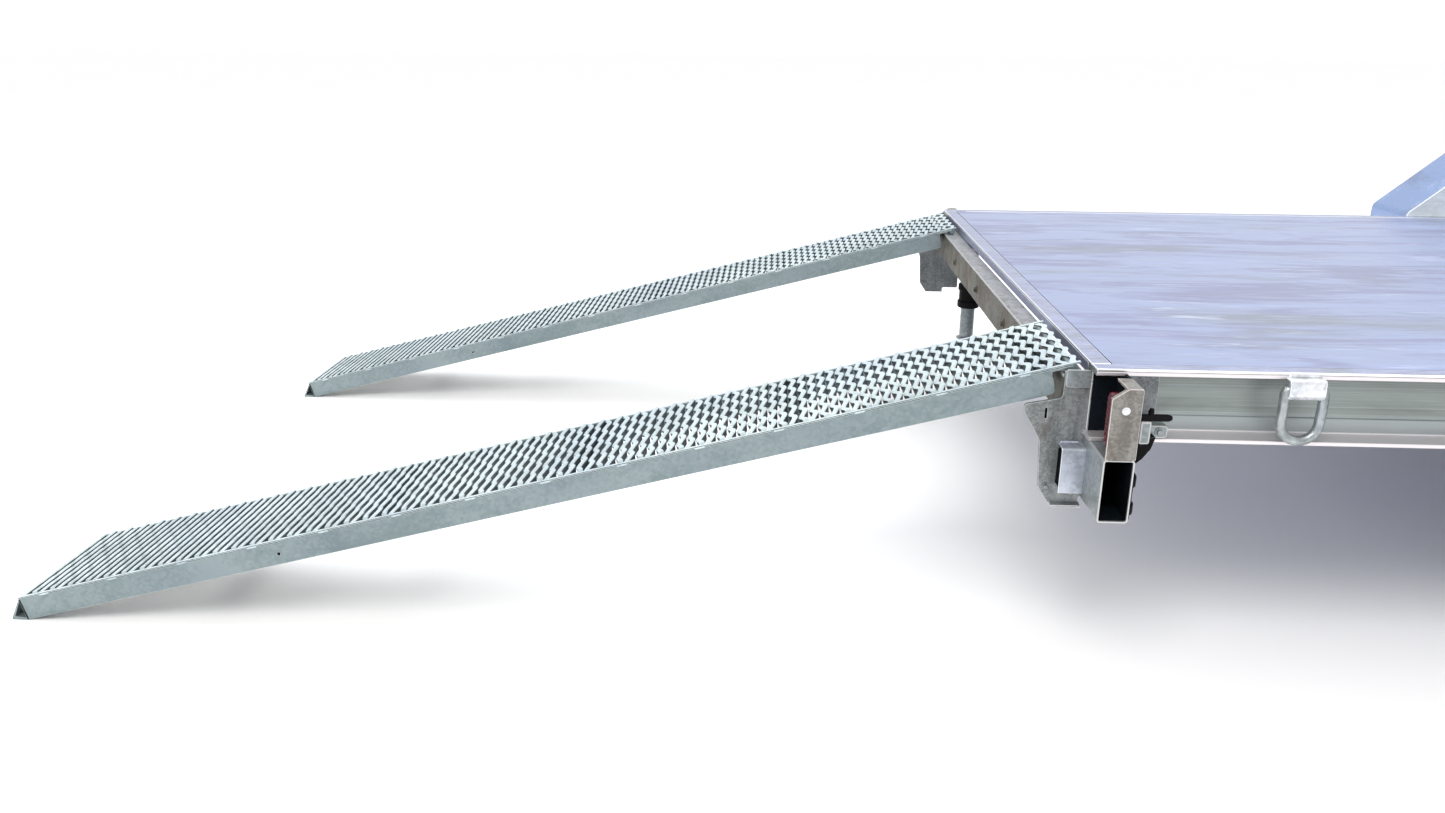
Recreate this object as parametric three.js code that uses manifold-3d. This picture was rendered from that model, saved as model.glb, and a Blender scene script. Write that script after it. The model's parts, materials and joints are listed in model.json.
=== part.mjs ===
// A tandem-axle flat-deck car trailer, parked level on its wheels and its nose jack, with both
// loading ramps hooked on at the rear and their tips on the ground.
// Millimetres. +X is forward, +Y is left, +Z is up. While it is built, x = 0 is the rear edge of
// the deck; the whole trailer is then moved so that the origin is on the ground below its middle.

import * as THREE from 'three';
import { mergeVertices } from 'three/addons/utils/BufferGeometryUtils.js';
import Module from 'manifold-3d';

// ---------------------------------------------------------------- driving dimensions

const fit = 0.3; // gap between pieces that touch
const RIGHT = -1;
const LEFT = 1;
const sides = [['right', RIGHT], ['left', LEFT]];

const deck = { length: 5500, width: 2000, top: 622, sheet: 5 };
const rail = { height: 136, flange: 50, web: 6, lip: 8 };
const cross = { count: 7, height: 80, flange: 40, wall: 5 };
const front = { flange: 50 };

const ledge = { drop: 26, depth: 45, rearGap: 3, height: 80, wall: 6 };
const gusset = {
  wall: 8, top: 604, reach: 115, knee: 523, waist: 81, shoulder: 466, shin: 75, ankle: 369,
  toe: 54, foot: 338, footFront: 4, step: 353, front: 57, tongue: 130, brow: 537, notch: 45,
  notchFoot: 551,
};
const stub = { width: 60, rear: -3, bottom: 358, overhang: 100, wall: 4 };
const pocket = { length: 50, width: 32, bottom: 366, height: 96, round: 14 };
const guard = { top: 607, wall: 6, chamfer: 26 };
const lamp = { width: 54, height: 106, depth: 45, bottom: 488, inset: 5 };

const stand = {
  x: 92, inboard: 45, radius: 24, length: 328, footRadius: 34, footWall: 8,
  stowed: { right: 283, left: 180 },
};
const clamp = {
  radius: 38, play: 1.5, bottom: 296, height: 84, arm: 36, armWall: 24, belowRail: 12.7, reach: 34, post: 22,
};
const handle = { radius: 7, aboveRailFoot: 56.3, start: 83, length: 56 };

const ramp = {
  gussetGap: 6.3, width: 325, depth: 53, tread: 4, wall: 5, barRadius: 8, length: 2232, railStart: 42,
  axisBehindDeck: 26, deckGap: 10, lip: 22, hookLift: 3, toe: 34,
};
const rung = { count: 4, first: 549, pitch: 427, width: 44, height: 20, head: 62 };
const hookPlay = 0.5; // under the hook bar

const axle = { centre: 2530, spacing: 864, beam: 76, armReach: 120, armWall: 30, spindle: 19 };
const tyre = {
  radius: 344, width: 203, bead: 192, rimWidth: 150, deckGap: 21, flangeGap: 3, seatCrown: 8,
  flank: { below: 30, inset: 4 }, shoulder: { drop: 26, inset: 8 }, edge: { drop: 6, inset: 18 },
  crownInset: 40,
};
const rim = {
  flange: 203, lip: 6, barrel: 182, wall: 5, well: 2, dish: 30, disc: 8, edge: { inset: 4, drop: 6 },
  valley: { radius: 158, drop: 4 }, crown: { radius: 104, rise: 10 },
};
const hub = { drum: 127, drumWidth: 58, cap: 38, capLength: 34, play: 1.5, bore: 74 };

const fender = {
  half: 937, upright: 35, slope: 35, top: 872, outer: 1240, wall: 4, lip: 45, foot: 100,
};

const ring = { fromRear: [375, 1375], fromFront: [375], width: 88, height: 128, rod: 6.5, strap: 65 };
const strap = { depth: 20, height: 38, below: 8 };

const tongue = { ahead: 1250, half: 52, angle: 25, width: 60, height: 120, sideGap: 6 };
const coupler = {
  plate: 8, plateLength: 240, nose: 150, noseHalf: 52, head: 50, ballRadius: 26, headHeight: 92, floor: 446,
};
const latch = { length: 100, width: 26, wall: 8, rise: 34 };
const jack = {
  ahead: 930, outer: 32, bore: 26.5, leg: 25, bottom: 320, top: 930, engaged: 170, plate: 8,
  plateLength: 130, foot: 75, footWall: 12, head: 44, headHeight: 60,
};
const crank = { radius: 7, arm: 170, grip: 95, gripRadius: 13, z: 962 };

const roundSteps = 32;

// ---------------------------------------------------------------- derived places

const halfWidth = deck.width / 2;
const deckUnder = deck.top - deck.sheet;
const railTop = deckUnder - fit;
const railBottom = railTop - rail.height;
const webOuter = halfWidth - rail.flange;
const webInner = webOuter - rail.web;
const ledgeTop = deck.top - ledge.drop;
const ledgeRear = -(ledge.rearGap + ledge.depth);
const gussetInner = webOuter + fit;
const gussetOuter = gussetInner + gusset.wall;
const stubTop = railBottom - fit;
const clampTop = railBottom - clamp.belowRail;
const handleZ = railBottom + handle.aboveRailFoot;
const stubFront = stub.rear + stub.width;
const guardOuter = halfWidth + stub.overhang;
const crossBottom = railTop - cross.height;
const tongueEnd = deck.length + tongue.ahead;
const jackX = deck.length + jack.ahead;
const tongueTop = crossBottom - fit;
const tongueBottom = tongueTop - tongue.height;
const tongueAngle = THREE.MathUtils.degToRad(tongue.angle);
const tongueSlope = Math.tan(tongueAngle);
const tongueHalf = tongue.width / 2 / Math.cos(tongueAngle);
const tongueUnder = webInner - tongue.sideGap - tongueHalf;
const beamCentre = railBottom - fit - axle.beam / 2;
const wheelY = halfWidth + tyre.deckGap + tyre.width / 2;
const fenderRear = axle.centre - fender.half;
const fenderFront = axle.centre + fender.half;

const rampAxisX = -ramp.axisBehindDeck;
const rampAxisZ = ledgeTop + hookPlay + ramp.barRadius;
const rampY = gussetInner - ramp.gussetGap - ramp.width / 2;
const rampUnder = ramp.depth - ramp.barRadius - ramp.tread;
const rampReach = Math.hypot(ramp.length, rampUnder);
const rampSlope = Math.asin(rampAxisZ / rampReach) - Math.atan2(rampUnder, ramp.length);
const rampTip = rampAxisX - (ramp.length + ramp.toe) * Math.cos(rampSlope)
  + (rampUnder - ramp.toe * Math.tan(rampSlope)) * Math.sin(rampSlope);
const couplerFront = tongueEnd + coupler.nose + coupler.head;
const middle = (rampTip + couplerFront) / 2;

// ---------------------------------------------------------------- finishes

const finish = (color, metalness, roughness) => () =>
  new THREE.MeshStandardMaterial({ color, metalness, roughness });
const millAluminium = finish(0xb4bfd6, 0.8, 0.35);
const paleAluminium = finish(0xd5dadb, 0.8, 0.4);
const galvanised = finish(0xa9b4b3, 0.7, 0.5);
const weatheredZinc = finish(0x6d6c62, 0.6, 0.6);
const darkSteel = finish(0x17181a, 0.3, 0.6);
const rubber = finish(0x202123, 0.0, 0.85);
const redLens = finish(0x5a0f16, 0.0, 0.25);

// ---------------------------------------------------------------- solids

const wasm = await Module();
wasm.setup();

/** A closed geometry as a solid that can be joined and cut. */
function solid(geometry) {
  const bare = geometry.clone();
  bare.deleteAttribute('normal');
  bare.deleteAttribute('uv');
  const merged = mergeVertices(bare, 1e-3);
  return new wasm.Manifold(new wasm.Mesh({
    numProp: 3,
    vertProperties: Float32Array.from(merged.attributes.position.array),
    triVerts: Uint32Array.from(merged.index.array),
  }));
}

/** The surface of a solid as a geometry. */
function surface(body) {
  const mesh = body.getMesh();
  const geometry = new THREE.BufferGeometry();
  geometry.setAttribute('position', new THREE.BufferAttribute(mesh.vertProperties, 3));
  geometry.setIndex(new THREE.BufferAttribute(mesh.triVerts, 1));
  geometry.computeVertexNormals();
  return geometry;
}

/** Joins solids into one. */
function join(...bodies) {
  return bodies.reduce((whole, next) => whole.add(next));
}

/** A box between two x, two y and two z values, in any order. */
function block([x0, x1], [y0, y1], [z0, z1]) {
  const geometry = new THREE.BoxGeometry(Math.abs(x1 - x0), Math.abs(y1 - y0), Math.abs(z1 - z0));
  geometry.translate((x0 + x1) / 2, (y0 + y1) / 2, (z0 + z1) / 2);
  return solid(geometry);
}

/** A shape pushed along its own normal, then turned so that its axes lie on the given ones. */
function pushed(shape, depth, across, up, along) {
  const geometry = new THREE.ExtrudeGeometry(shape, { depth, bevelEnabled: false, curveSegments: 8 });
  return geometry.applyMatrix4(new THREE.Matrix4().makeBasis(across, up, along));
}

const axisX = new THREE.Vector3(1, 0, 0);
const axisY = new THREE.Vector3(0, 1, 0);
const axisZ = new THREE.Vector3(0, 0, 1);

const outline = (points) => new THREE.Shape(points.map(([a, b]) => new THREE.Vector2(a, b)));

/** A section in y and z, run from x0 to x1. */
function alongX(shape, x0, x1) {
  return solid(pushed(shape, x1 - x0, axisY, axisZ, axisX).translate(x0, 0, 0));
}

/** A side view in x and z, as thick as the step from y0 to y1. */
function alongY(shape, y0, y1) {
  const low = Math.min(y0, y1);
  const depth = Math.abs(y1 - y0);
  const geometry = pushed(shape, depth, axisX, axisZ, axisY.clone().negate());
  return solid(geometry.translate(0, low + depth, 0));
}

/** A plan in x and y, run from z0 to z1. */
function alongZ(shape, z0, z1) {
  return solid(pushed(shape, z1 - z0, axisX, axisY, axisZ).translate(0, 0, z0));
}

/** A round bar along an axis, from its start point. */
function bar(direction, start, length, radius, steps = 16) {
  const geometry = new THREE.CylinderGeometry(radius, radius, length, steps);
  const turn = new THREE.Quaternion().setFromUnitVectors(axisY, direction);
  geometry.applyQuaternion(turn);
  geometry.translate(...start.map((value, i) => value + direction.getComponent(i) * length / 2));
  return solid(geometry);
}

/** A ring-shaped or solid turned piece about the y axis; points are radius and y. */
function turned(points, steps = roundSteps) {
  return solid(new THREE.LatheGeometry(points.map(([r, y]) => new THREE.Vector2(r, y)), steps));
}

/** The flat outline of a bar with round ends between two points. */
function roundBar([x0, z0], [x1, z1], radius) {
  const lean = Math.atan2(z1 - z0, x1 - x0);
  const shape = new THREE.Shape();
  shape.absarc(x0, z0, radius, lean + Math.PI / 2, lean + 1.5 * Math.PI, false);
  shape.absarc(x1, z1, radius, lean - Math.PI / 2, lean + Math.PI / 2, false);
  return shape;
}

// ---------------------------------------------------------------- scene graph

const trailer = new THREE.Group();
trailer.position.x = -middle;

/** Puts a named piece with its own material into a group. */
function piece(name, body, material, parent = trailer, position = [0, 0, 0]) {
  const mesh = new THREE.Mesh(surface(body), material());
  mesh.name = name;
  mesh.position.set(...position);
  parent.add(mesh);
  return mesh;
}

// ---------------------------------------------------------------- deck and chassis

/** The outward-facing channel of one side. */
function sideRail(side) {
  const section = outline([
    [side * webInner, railBottom], [side * halfWidth, railBottom],
    [side * halfWidth, railBottom + rail.lip], [side * webOuter, railBottom + rail.lip],
    [side * webOuter, railTop - rail.lip], [side * halfWidth, railTop - rail.lip],
    [side * halfWidth, railTop], [side * webInner, railTop],
  ]);
  return alongX(section, 0, deck.length);
}

/** A channel across the trailer, open towards one end of it. */
function crossChannel(x, flange, bottom, top, wall, reach, open) {
  const web = [x, x + open * wall];
  const lips = [x, x + open * flange];
  return join(
    block(web, [-reach, reach], [bottom, top]),
    block(lips, [-reach, reach], [bottom, bottom + wall]),
    block(lips, [-reach, reach], [top - wall, top]),
  );
}

function buildChassis() {
  const deckSheet = block([0, deck.length], [-halfWidth, halfWidth], [deckUnder, deck.top]);
  piece('deck', deckSheet, millAluminium);
  for (const [word, side] of sides) piece(`side_rail_${word}`, sideRail(side), paleAluminium);

  const reach = webInner - fit;
  piece('front_rail', crossChannel(deck.length, front.flange, crossBottom, railTop, rail.web, reach, -1),
    paleAluminium);
  piece('rear_crossmember',
    crossChannel(ledgeRear, ledge.depth, ledgeTop - ledge.height, ledgeTop, ledge.wall,
      gussetInner - fit, 1), weatheredZinc);
  const pitch = deck.length / (cross.count + 1);
  for (let i = 1; i <= cross.count; i += 1) {
    piece(`crossmember_${i}`,
      crossChannel(0, cross.flange, crossBottom, railTop, cross.wall, reach, 1), paleAluminium,
      trailer, [i * pitch, 0, 0]);
  }
}

// ---------------------------------------------------------------- rear corners

/** The upright plate at a rear corner, with a tongue that lies in the side rail's channel. */
function gussetPlate(side) {
  const slotTop = railBottom + rail.lip + fit;
  const sideView = outline([
    [-gusset.notch, gusset.top], [gusset.tongue, gusset.top], [gusset.tongue, slotTop],
    [-fit, slotTop], [-fit, railBottom - fit], [gusset.front, railBottom - fit],
    [gusset.front, gusset.step], [gusset.footFront, gusset.step], [gusset.footFront, gusset.foot],
    [-gusset.toe, gusset.foot], [-gusset.shin, gusset.ankle], [-gusset.waist, gusset.shoulder],
    [-gusset.reach, gusset.knee], [-gusset.reach, gusset.brow], [-gusset.notch, gusset.notchFoot],
  ]);
  return alongY(sideView, side * gussetInner, side * gussetOuter);
}

/** The cross tube's open end, the guard around the lamp and the folded pocket behind them. */
function lampHousing(side) {
  const inner = side * (gussetOuter + fit);
  const outer = side * guardOuter;
  const tubeX = [stub.rear, stubFront];
  const tube = block(tubeX, [inner, outer], [stub.bottom, stubTop]).subtract(block(
    [stub.rear + stub.wall, stubFront - stub.wall], [inner - side, outer + side],
    [stub.bottom + stub.wall, stubTop - stub.wall]));
  const cheek = alongY(outline([
    [stub.rear, stubTop - stub.wall], [stubFront, stubTop - stub.wall], [stubFront, guard.top],
    [stub.rear + guard.chamfer, guard.top], [stub.rear, guard.top - guard.chamfer],
  ]), side * (guardOuter - guard.wall), outer);
  const open = side * (halfWidth + 2 * fit);
  const roof = block([stub.rear + guard.chamfer, stubFront], [open, outer],
    [guard.top - guard.wall, guard.top]);
  const back = block([stubFront - guard.wall, stubFront], [open, outer],
    [stubTop - stub.wall, guard.top]);
  return join(tube, cheek, roof, back, foldedPocket(side));
}

/** A pocket folded from sheet, with a round top edge, behind the cross tube. */
function foldedPocket(side) {
  const rear = stub.rear - pocket.length;
  const inner = gussetOuter + fit;
  const top = pocket.bottom + pocket.height;
  const section = new THREE.Shape();
  section.moveTo(side * inner, pocket.bottom);
  section.lineTo(side * (inner + pocket.width), pocket.bottom);
  section.lineTo(side * (inner + pocket.width), top - pocket.round);
  section.quadraticCurveTo(side * (inner + pocket.width), top,
    side * (inner + pocket.width - pocket.round), top);
  section.lineTo(side * inner, top);
  return alongX(section, rear, stub.rear + stub.wall / 2);
}

function tailLamp(side) {
  const outer = guardOuter - guard.wall - lamp.inset;
  const face = stubFront - guard.wall - fit;
  return block([face - lamp.depth, face], [side * (outer - lamp.width), side * outer],
    [lamp.bottom, lamp.bottom + lamp.height]);
}

/** The clamp of a prop stand: a collar, an arm below the side rail and a post with a handle. */
function standClamp(side) {
  const y = side * (webInner - stand.inboard);
  const out = side * (halfWidth + clamp.reach);
  const edge = y + side * clamp.radius;
  const x = [stand.x - clamp.arm / 2, stand.x + clamp.arm / 2];
  const handleY = out - side * clamp.post / 2;
  const collar = bar(axisZ, [stand.x, y, clamp.bottom], clamp.height, clamp.radius, 24);
  const riser = block(x, [edge - side * clamp.post, edge], [clamp.bottom, clampTop]);
  const arm = block(x, [edge - side * clamp.post, out], [clampTop - clamp.armWall, clampTop]);
  const post = block(x, [out - side * clamp.post, out], [clampTop - clamp.armWall, handleZ]);
  const lever = bar(axisX, [handle.start, handleY, handleZ], handle.length, handle.radius, 12);
  const bore = bar(axisZ, [stand.x, y, clamp.bottom - 1], clampTop - clamp.bottom + 2,
    stand.radius + clamp.play, 24);
  return join(collar, riser, arm, post, lever).subtract(bore);
}

/** The sliding leg of a prop stand, standing on its foot. */
function standLeg() {
  return join(
    bar(axisZ, [0, 0, 0], stand.length, stand.radius, 24),
    bar(axisZ, [0, 0, 0], stand.footWall, stand.footRadius, 24),
  );
}

function buildRearCorners() {
  for (const [word, side] of sides) {
    const standY = side * (webInner - stand.inboard);
    piece(`rear_gusset_${word}`, gussetPlate(side), galvanised);
    piece(`lamp_housing_${word}`, lampHousing(side), galvanised);
    piece(`tail_lamp_${word}`, tailLamp(side), redLens);
    piece(`stand_clamp_${word}`, standClamp(side), darkSteel);
    piece(`prop_stand_${word}`, standLeg(), galvanised, trailer,
      [stand.x, standY, stand.stowed[word]]);
  }
}

// ---------------------------------------------------------------- loading ramps

/** Side plates, rungs and the hook bar of a ramp, along -x from the hook's axis. */
function rampFrame() {
  const half = ramp.width / 2;
  const high = ramp.barRadius;
  const low = -rampUnder;
  const run = [-ramp.length, -ramp.railStart];
  const frame = [bar(axisY, [0, -half, 0], ramp.width, ramp.barRadius, 24)];
  for (const side of [RIGHT, LEFT]) {
    const outer = side * half;
    frame.push(block(run, [outer - side * ramp.wall, outer], [low, high - fit]));
    frame.push(block(run, [outer - side * ramp.lip, outer], [low, low + ramp.wall]));
    frame.push(block([-ramp.railStart - ramp.wall, 0], [outer - side * ramp.lip, outer],
      [ramp.hookLift, high - fit]));
  }
  const centres = [rung.head];
  for (let i = 0; i < rung.count; i += 1) centres.push(rung.first + i * rung.pitch);
  for (const centre of centres) {
    frame.push(block([-centre - rung.width / 2, -centre + rung.width / 2], [-half + 1, half - 1],
      [high - fit - rung.height, high - fit]));
  }
  return join(...frame, rampToe(half));
}

/** The folded toe across a ramp's tip: a three-cornered tube, open at its ends. */
function rampToe(half) {
  const low = -rampUnder;
  const high = ramp.barRadius - fit;
  const tip = low + ramp.toe * Math.tan(rampSlope);
  const start = -ramp.length + ramp.wall;
  const outer = outline([[start, low], [start, high], [-ramp.length, high],
    [-ramp.length - ramp.toe, tip], [-ramp.length, low]]);
  const inner = outline([[start - ramp.wall, low + ramp.wall], [start - ramp.wall, high - ramp.wall],
    [-ramp.length - ramp.toe + 2 * ramp.wall, tip + ramp.wall]]);
  return alongY(outer, -half, half).subtract(alongY(inner, -half - 1, half + 1));
}

/** The tread sheet of a ramp, from just behind the deck's edge to the tip. */
function rampTread() {
  const half = ramp.width / 2;
  return block([-ramp.length, ramp.axisBehindDeck - ramp.deckGap], [-half, half],
    [ramp.barRadius, ramp.barRadius + ramp.tread]);
}

function buildRamps() {
  for (const [word, side] of sides) {
    const hooked = new THREE.Group();
    hooked.position.set(rampAxisX, side * rampY, rampAxisZ);
    hooked.rotation.y = -rampSlope;
    trailer.add(hooked);
    piece(`ramp_frame_${word}`, rampFrame(), galvanised, hooked);
    piece(`ramp_tread_${word}`, rampTread(), galvanised, hooked);
  }
}

// ---------------------------------------------------------------- axles, wheels and fenders

/** A square axle beam with a trailing arm and a spindle at each end; the spindle is at x = 0. */
function axleBeam() {
  const half = axle.beam / 2;
  const x = axle.armReach;
  const armInner = gussetInner;
  const armOuter = armInner + axle.armWall;
  const drumInner = wheelY - hub.drumWidth - hub.play;
  const parts = [block([x - half, x + half], [-armInner, armInner], [beamCentre - half, beamCentre + half])];
  for (const side of [RIGHT, LEFT]) {
    parts.push(alongY(roundBar([x, beamCentre], [0, tyre.radius], half), side * (armInner - 1),
      side * armOuter));
    parts.push(bar(axisY, [0, side < 0 ? -(drumInner + hub.bore) : armOuter - 1, tyre.radius],
      drumInner + hub.bore - armOuter + 1, axle.spindle, 16));
  }
  return join(...parts);
}

/** A tyre about the y axis. */
function tyreRing() {
  const half = tyre.width / 2;
  const bead = tyre.rimWidth / 2;
  const belly = (tyre.radius + tyre.bead) / 2;
  const { below, inset } = tyre.flank;
  const flank = [
    [tyre.bead, 0, bead], [rim.flange + tyre.flangeGap, 0, bead], [belly - below, inset], [belly, 0],
    [tyre.radius - tyre.shoulder.drop, tyre.shoulder.inset],
    [tyre.radius - tyre.edge.drop, tyre.edge.inset], [tyre.radius, tyre.crownInset],
  ];
  return turned([
    ...flank.map(([radius, inset, y]) => [radius, inset - (y ?? half)]),
    ...flank.toReversed().map(([radius, inset, y]) => [radius, (y ?? half) - inset]),
    [tyre.bead + tyre.seatCrown, 0], [tyre.bead, -bead],
  ]);
}

/** A rim with its disc, drum and hub cap about the y axis; the disc faces +y. */
function wheelRim() {
  const half = tyre.rimWidth / 2 + fit;
  const inside = rim.barrel - rim.wall;
  const seat = tyre.bead - fit;
  const face = rim.dish + rim.disc;
  const body = turned([
    [0, -hub.drumWidth], [hub.drum, -hub.drumWidth], [hub.drum, rim.dish - rim.disc],
    [inside, rim.dish - 2 * rim.disc], [inside, -half - rim.lip],
    [rim.flange, -half - rim.lip], [rim.flange, -half], [seat, -half],
    [rim.barrel + rim.well, 0], [seat, half], [rim.flange, half], [rim.flange, half + rim.lip],
    [inside, half + rim.lip], [inside - rim.edge.inset, face - rim.edge.drop],
    [rim.valley.radius, face - rim.valley.drop], [rim.crown.radius, face + rim.crown.rise],
    [hub.cap, face],
    [hub.cap, face + hub.capLength], [0, face + hub.capLength],
  ]);
  return body.subtract(bar(axisY, [0, -hub.drumWidth - 1, 0], hub.bore + hub.play + 1,
    axle.spindle + hub.play, 16));
}

/** The arch of a fender: inner panel, bent top and outer lip. */
function fenderArch(side) {
  const ground = deck.top + fit;
  const knee = deck.top + fender.upright;
  const run = (fender.top - knee) / Math.tan(THREE.MathUtils.degToRad(fender.slope));
  const arch = (shrink) => outline([
    [fenderRear + shrink, ground], [fenderFront - shrink, ground],
    [fenderFront - shrink, knee - shrink * 0.3], [fenderFront - run - shrink * 0.3, fender.top - shrink],
    [fenderRear + run + shrink * 0.3, fender.top - shrink], [fenderRear + shrink, knee - shrink * 0.3],
  ]);
  const inner = side * (halfWidth + fit);
  const panel = inner + side * fender.wall;
  const outer = side * fender.outer;
  const whole = alongY(arch(0), inner, outer);
  const hollow = alongY(arch(fender.wall), panel, outer - side * fender.wall);
  const open = alongY(arch(fender.lip), outer - side * 2 * fender.wall, outer + side);
  const mouth = block([fenderRear + fender.wall, fenderFront - fender.wall],
    [panel, outer - side * fender.wall], [ground - 1, ground + fender.upright / 2]);
  const foot = block([fenderRear, fenderFront], [inner, panel], [deck.top - fender.foot, knee]);
  return whole.subtract(hollow).subtract(open).subtract(mouth).add(foot);
}

function buildRunningGear() {
  for (const [place, step] of [['rear', -0.5], ['front', 0.5]]) {
    const x = axle.centre + step * axle.spacing;
    piece(`axle_${place}`, axleBeam(), galvanised, trailer, [x, 0, 0]);
    for (const [word, side] of sides) {
      const wheel = new THREE.Group();
      wheel.position.set(x, side * wheelY, tyre.radius);
      wheel.rotation.z = side === LEFT ? 0 : Math.PI;
      trailer.add(wheel);
      piece(`tyre_${place}_${word}`, tyreRing(), rubber, wheel);
      piece(`rim_${place}_${word}`, wheelRim(), paleAluminium, wheel);
    }
  }
  for (const [word, side] of sides) piece(`fender_${word}`, fenderArch(side), millAluminium);
}

// ---------------------------------------------------------------- tie-down rings

/** A ring that hangs from a strap on the rail's edge. */
function tieDown(side) {
  const inner = halfWidth + fit;
  const y = inner + strap.depth / 2;
  const strapTop = deck.top - strap.below;
  const across = ring.width / 2 - ring.rod;
  const top = strapTop - strap.height + 2 * ring.rod;
  const low = strapTop - ring.height + ring.rod + across;
  const path = [[-across, top], [-across, (top + low) / 2]];
  for (let i = 0; i <= 8; i += 1) {
    const turn = Math.PI + i * Math.PI / 8;
    path.push([across * Math.cos(turn), low + across * Math.sin(turn)]);
  }
  path.push([across, (top + low) / 2], [across, top]);
  const curve = new THREE.CatmullRomCurve3(path.map(([x, z]) => new THREE.Vector3(x, side * y, z)));
  const rod = new THREE.Shape();
  rod.absarc(0, 0, ring.rod, 0, 2 * Math.PI);
  const bow = solid(new THREE.ExtrudeGeometry(rod, { steps: 18, extrudePath: curve, curveSegments: 4 }));
  const pin = bar(axisX, [-across - ring.rod, side * y, top], 2 * (across + ring.rod), ring.rod, 12);
  const plate = block([-ring.strap / 2, ring.strap / 2], [side * inner, side * (inner + strap.depth)],
    [strapTop - strap.height, strapTop]);
  return join(bow, pin, plate);
}

function buildTieDowns() {
  for (const [word, side] of sides) {
    const places = [...ring.fromRear, ...ring.fromFront.map((x) => deck.length - x)];
    places.forEach((x, i) => {
      piece(`tie_down_${word}_${i + 1}`, tieDown(side), galvanised, trailer, [x, 0, 0]);
    });
  }
}

// ---------------------------------------------------------------- drawbar, coupler and jack

const tongueY = (x) => tongue.half + (tongueEnd - x) * tongueSlope;

/** One rail of the drawbar, running in to the coupler. */
function drawbarRail(side) {
  const start = tongueEnd - (tongueUnder - tongue.half) / tongueSlope;
  const plan = outline([
    [start, side * (tongueUnder - tongueHalf)], [tongueEnd, side * (tongue.half - tongueHalf)],
    [tongueEnd, side * (tongue.half + tongueHalf)], [start, side * (tongueUnder + tongueHalf)],
  ]);
  return alongZ(plan, tongueBottom, tongueTop);
}

/** The coupler: a plate on the drawbar, a nose and a head with a socket that opens downwards. */
function couplerBody() {
  const low = tongueTop + fit;
  const high = low + coupler.plate;
  const rear = tongueEnd - coupler.plateLength;
  const x = couplerFront - coupler.head;
  const plate = alongZ(outline([
    [rear, -tongueY(rear)], [tongueEnd + fit, -coupler.noseHalf], [x, -coupler.noseHalf * 0.8],
    [x, coupler.noseHalf * 0.8], [tongueEnd + fit, coupler.noseHalf], [rear, tongueY(rear)],
  ]), low, high);
  const nose = block([tongueEnd + fit, x], [-coupler.noseHalf * 0.8, coupler.noseHalf * 0.8],
    [coupler.floor + 14, high]);
  const head = bar(axisZ, [x, 0, coupler.floor], coupler.headHeight, coupler.head, 24);
  const ball = new THREE.SphereGeometry(coupler.ballRadius, 16, 10);
  ball.translate(x, 0, coupler.floor + coupler.ballRadius);
  const mouth = bar(axisZ, [x, 0, coupler.floor - 1], coupler.ballRadius + 1, coupler.ballRadius, 16);
  return join(plate, nose, head).subtract(solid(ball)).subtract(mouth);
}

/** The lever that locks the coupler on its ball. */
function couplerLatch() {
  const low = tongueTop + coupler.plate + 2 * fit;
  const x = tongueEnd + coupler.nose * 0.6;
  return alongY(outline([
    [x, low], [x + latch.wall, low], [x + latch.wall, low + latch.rise - latch.wall],
    [x + latch.length, low + latch.rise], [x + latch.length, low + latch.rise + latch.wall],
    [x, low + latch.rise],
  ]), -latch.width / 2, latch.width / 2);
}

/** The jack's outer tube, bored from below, with its plate on the drawbar and its gear head. */
function jackTube() {
  const half = jack.plateLength / 2;
  const low = tongueTop + fit;
  const reach = tongueY(jackX + half) + tongue.width / 2;
  const tube = bar(axisZ, [0, 0, jack.bottom], jack.top - jack.bottom, jack.outer, 24);
  const plate = block([-half, half], [-reach, reach], [low, low + jack.plate]);
  const head = block([-jack.head, jack.head], [-jack.head, jack.head],
    [jack.top - jack.headHeight, jack.top]);
  const bore = bar(axisZ, [0, 0, jack.bottom - 1], jack.top - jack.headHeight - jack.bottom,
    jack.bore, 24);
  return join(tube, plate, head).subtract(bore);
}

/** The jack's sliding leg on its foot plate. */
function jackLeg() {
  return join(
    block([-jack.foot, jack.foot], [-jack.foot, jack.foot], [0, jack.footWall]),
    bar(axisZ, [0, 0, 0], jack.bottom + jack.engaged, jack.leg, 24),
  );
}

/** The jack's crank: a spindle, an arm and a grip. */
function jackCrank() {
  const top = crank.z;
  return join(
    bar(axisZ, [0, 0, jack.top + fit], top - jack.top, crank.radius, 12),
    bar(axisX.clone().negate(), [crank.radius, 0, top], crank.arm, crank.radius, 12),
    bar(axisZ, [-crank.arm + 2 * crank.radius, 0, top - crank.radius], crank.grip, crank.gripRadius, 16),
  );
}

function buildNose() {
  for (const [word, side] of sides) piece(`drawbar_${word}`, drawbarRail(side), galvanised);
  piece('coupler', couplerBody(), galvanised);
  piece('coupler_latch', couplerLatch(), darkSteel);
  piece('jack_tube', jackTube(), galvanised, trailer, [jackX, 0, 0]);
  piece('jack_leg', jackLeg(), galvanised, trailer, [jackX, 0, 0]);
  piece('jack_crank', jackCrank(), darkSteel, trailer, [jackX, 0, 0]);
}

buildChassis();
buildRearCorners();
buildRamps();
buildRunningGear();
buildTieDowns();
buildNose();

export default trailer;
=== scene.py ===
"""Looks for a parked flat-deck car trailer with both loading ramps down, around its fixed frame.

Lengths are metres in the frame's axes: +X forward, +Y left, +Z up. Each sub-assembly is a class
whose fields are its sizes; it builds its own meshes and dresses them in the finishes below.
"""

import json
import logging
import math
from dataclasses import dataclass
from enum import Enum
from typing import Callable, Iterable, Mapping, Sequence

import bmesh
import bpy
from mathutils import Matrix, Vector


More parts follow.
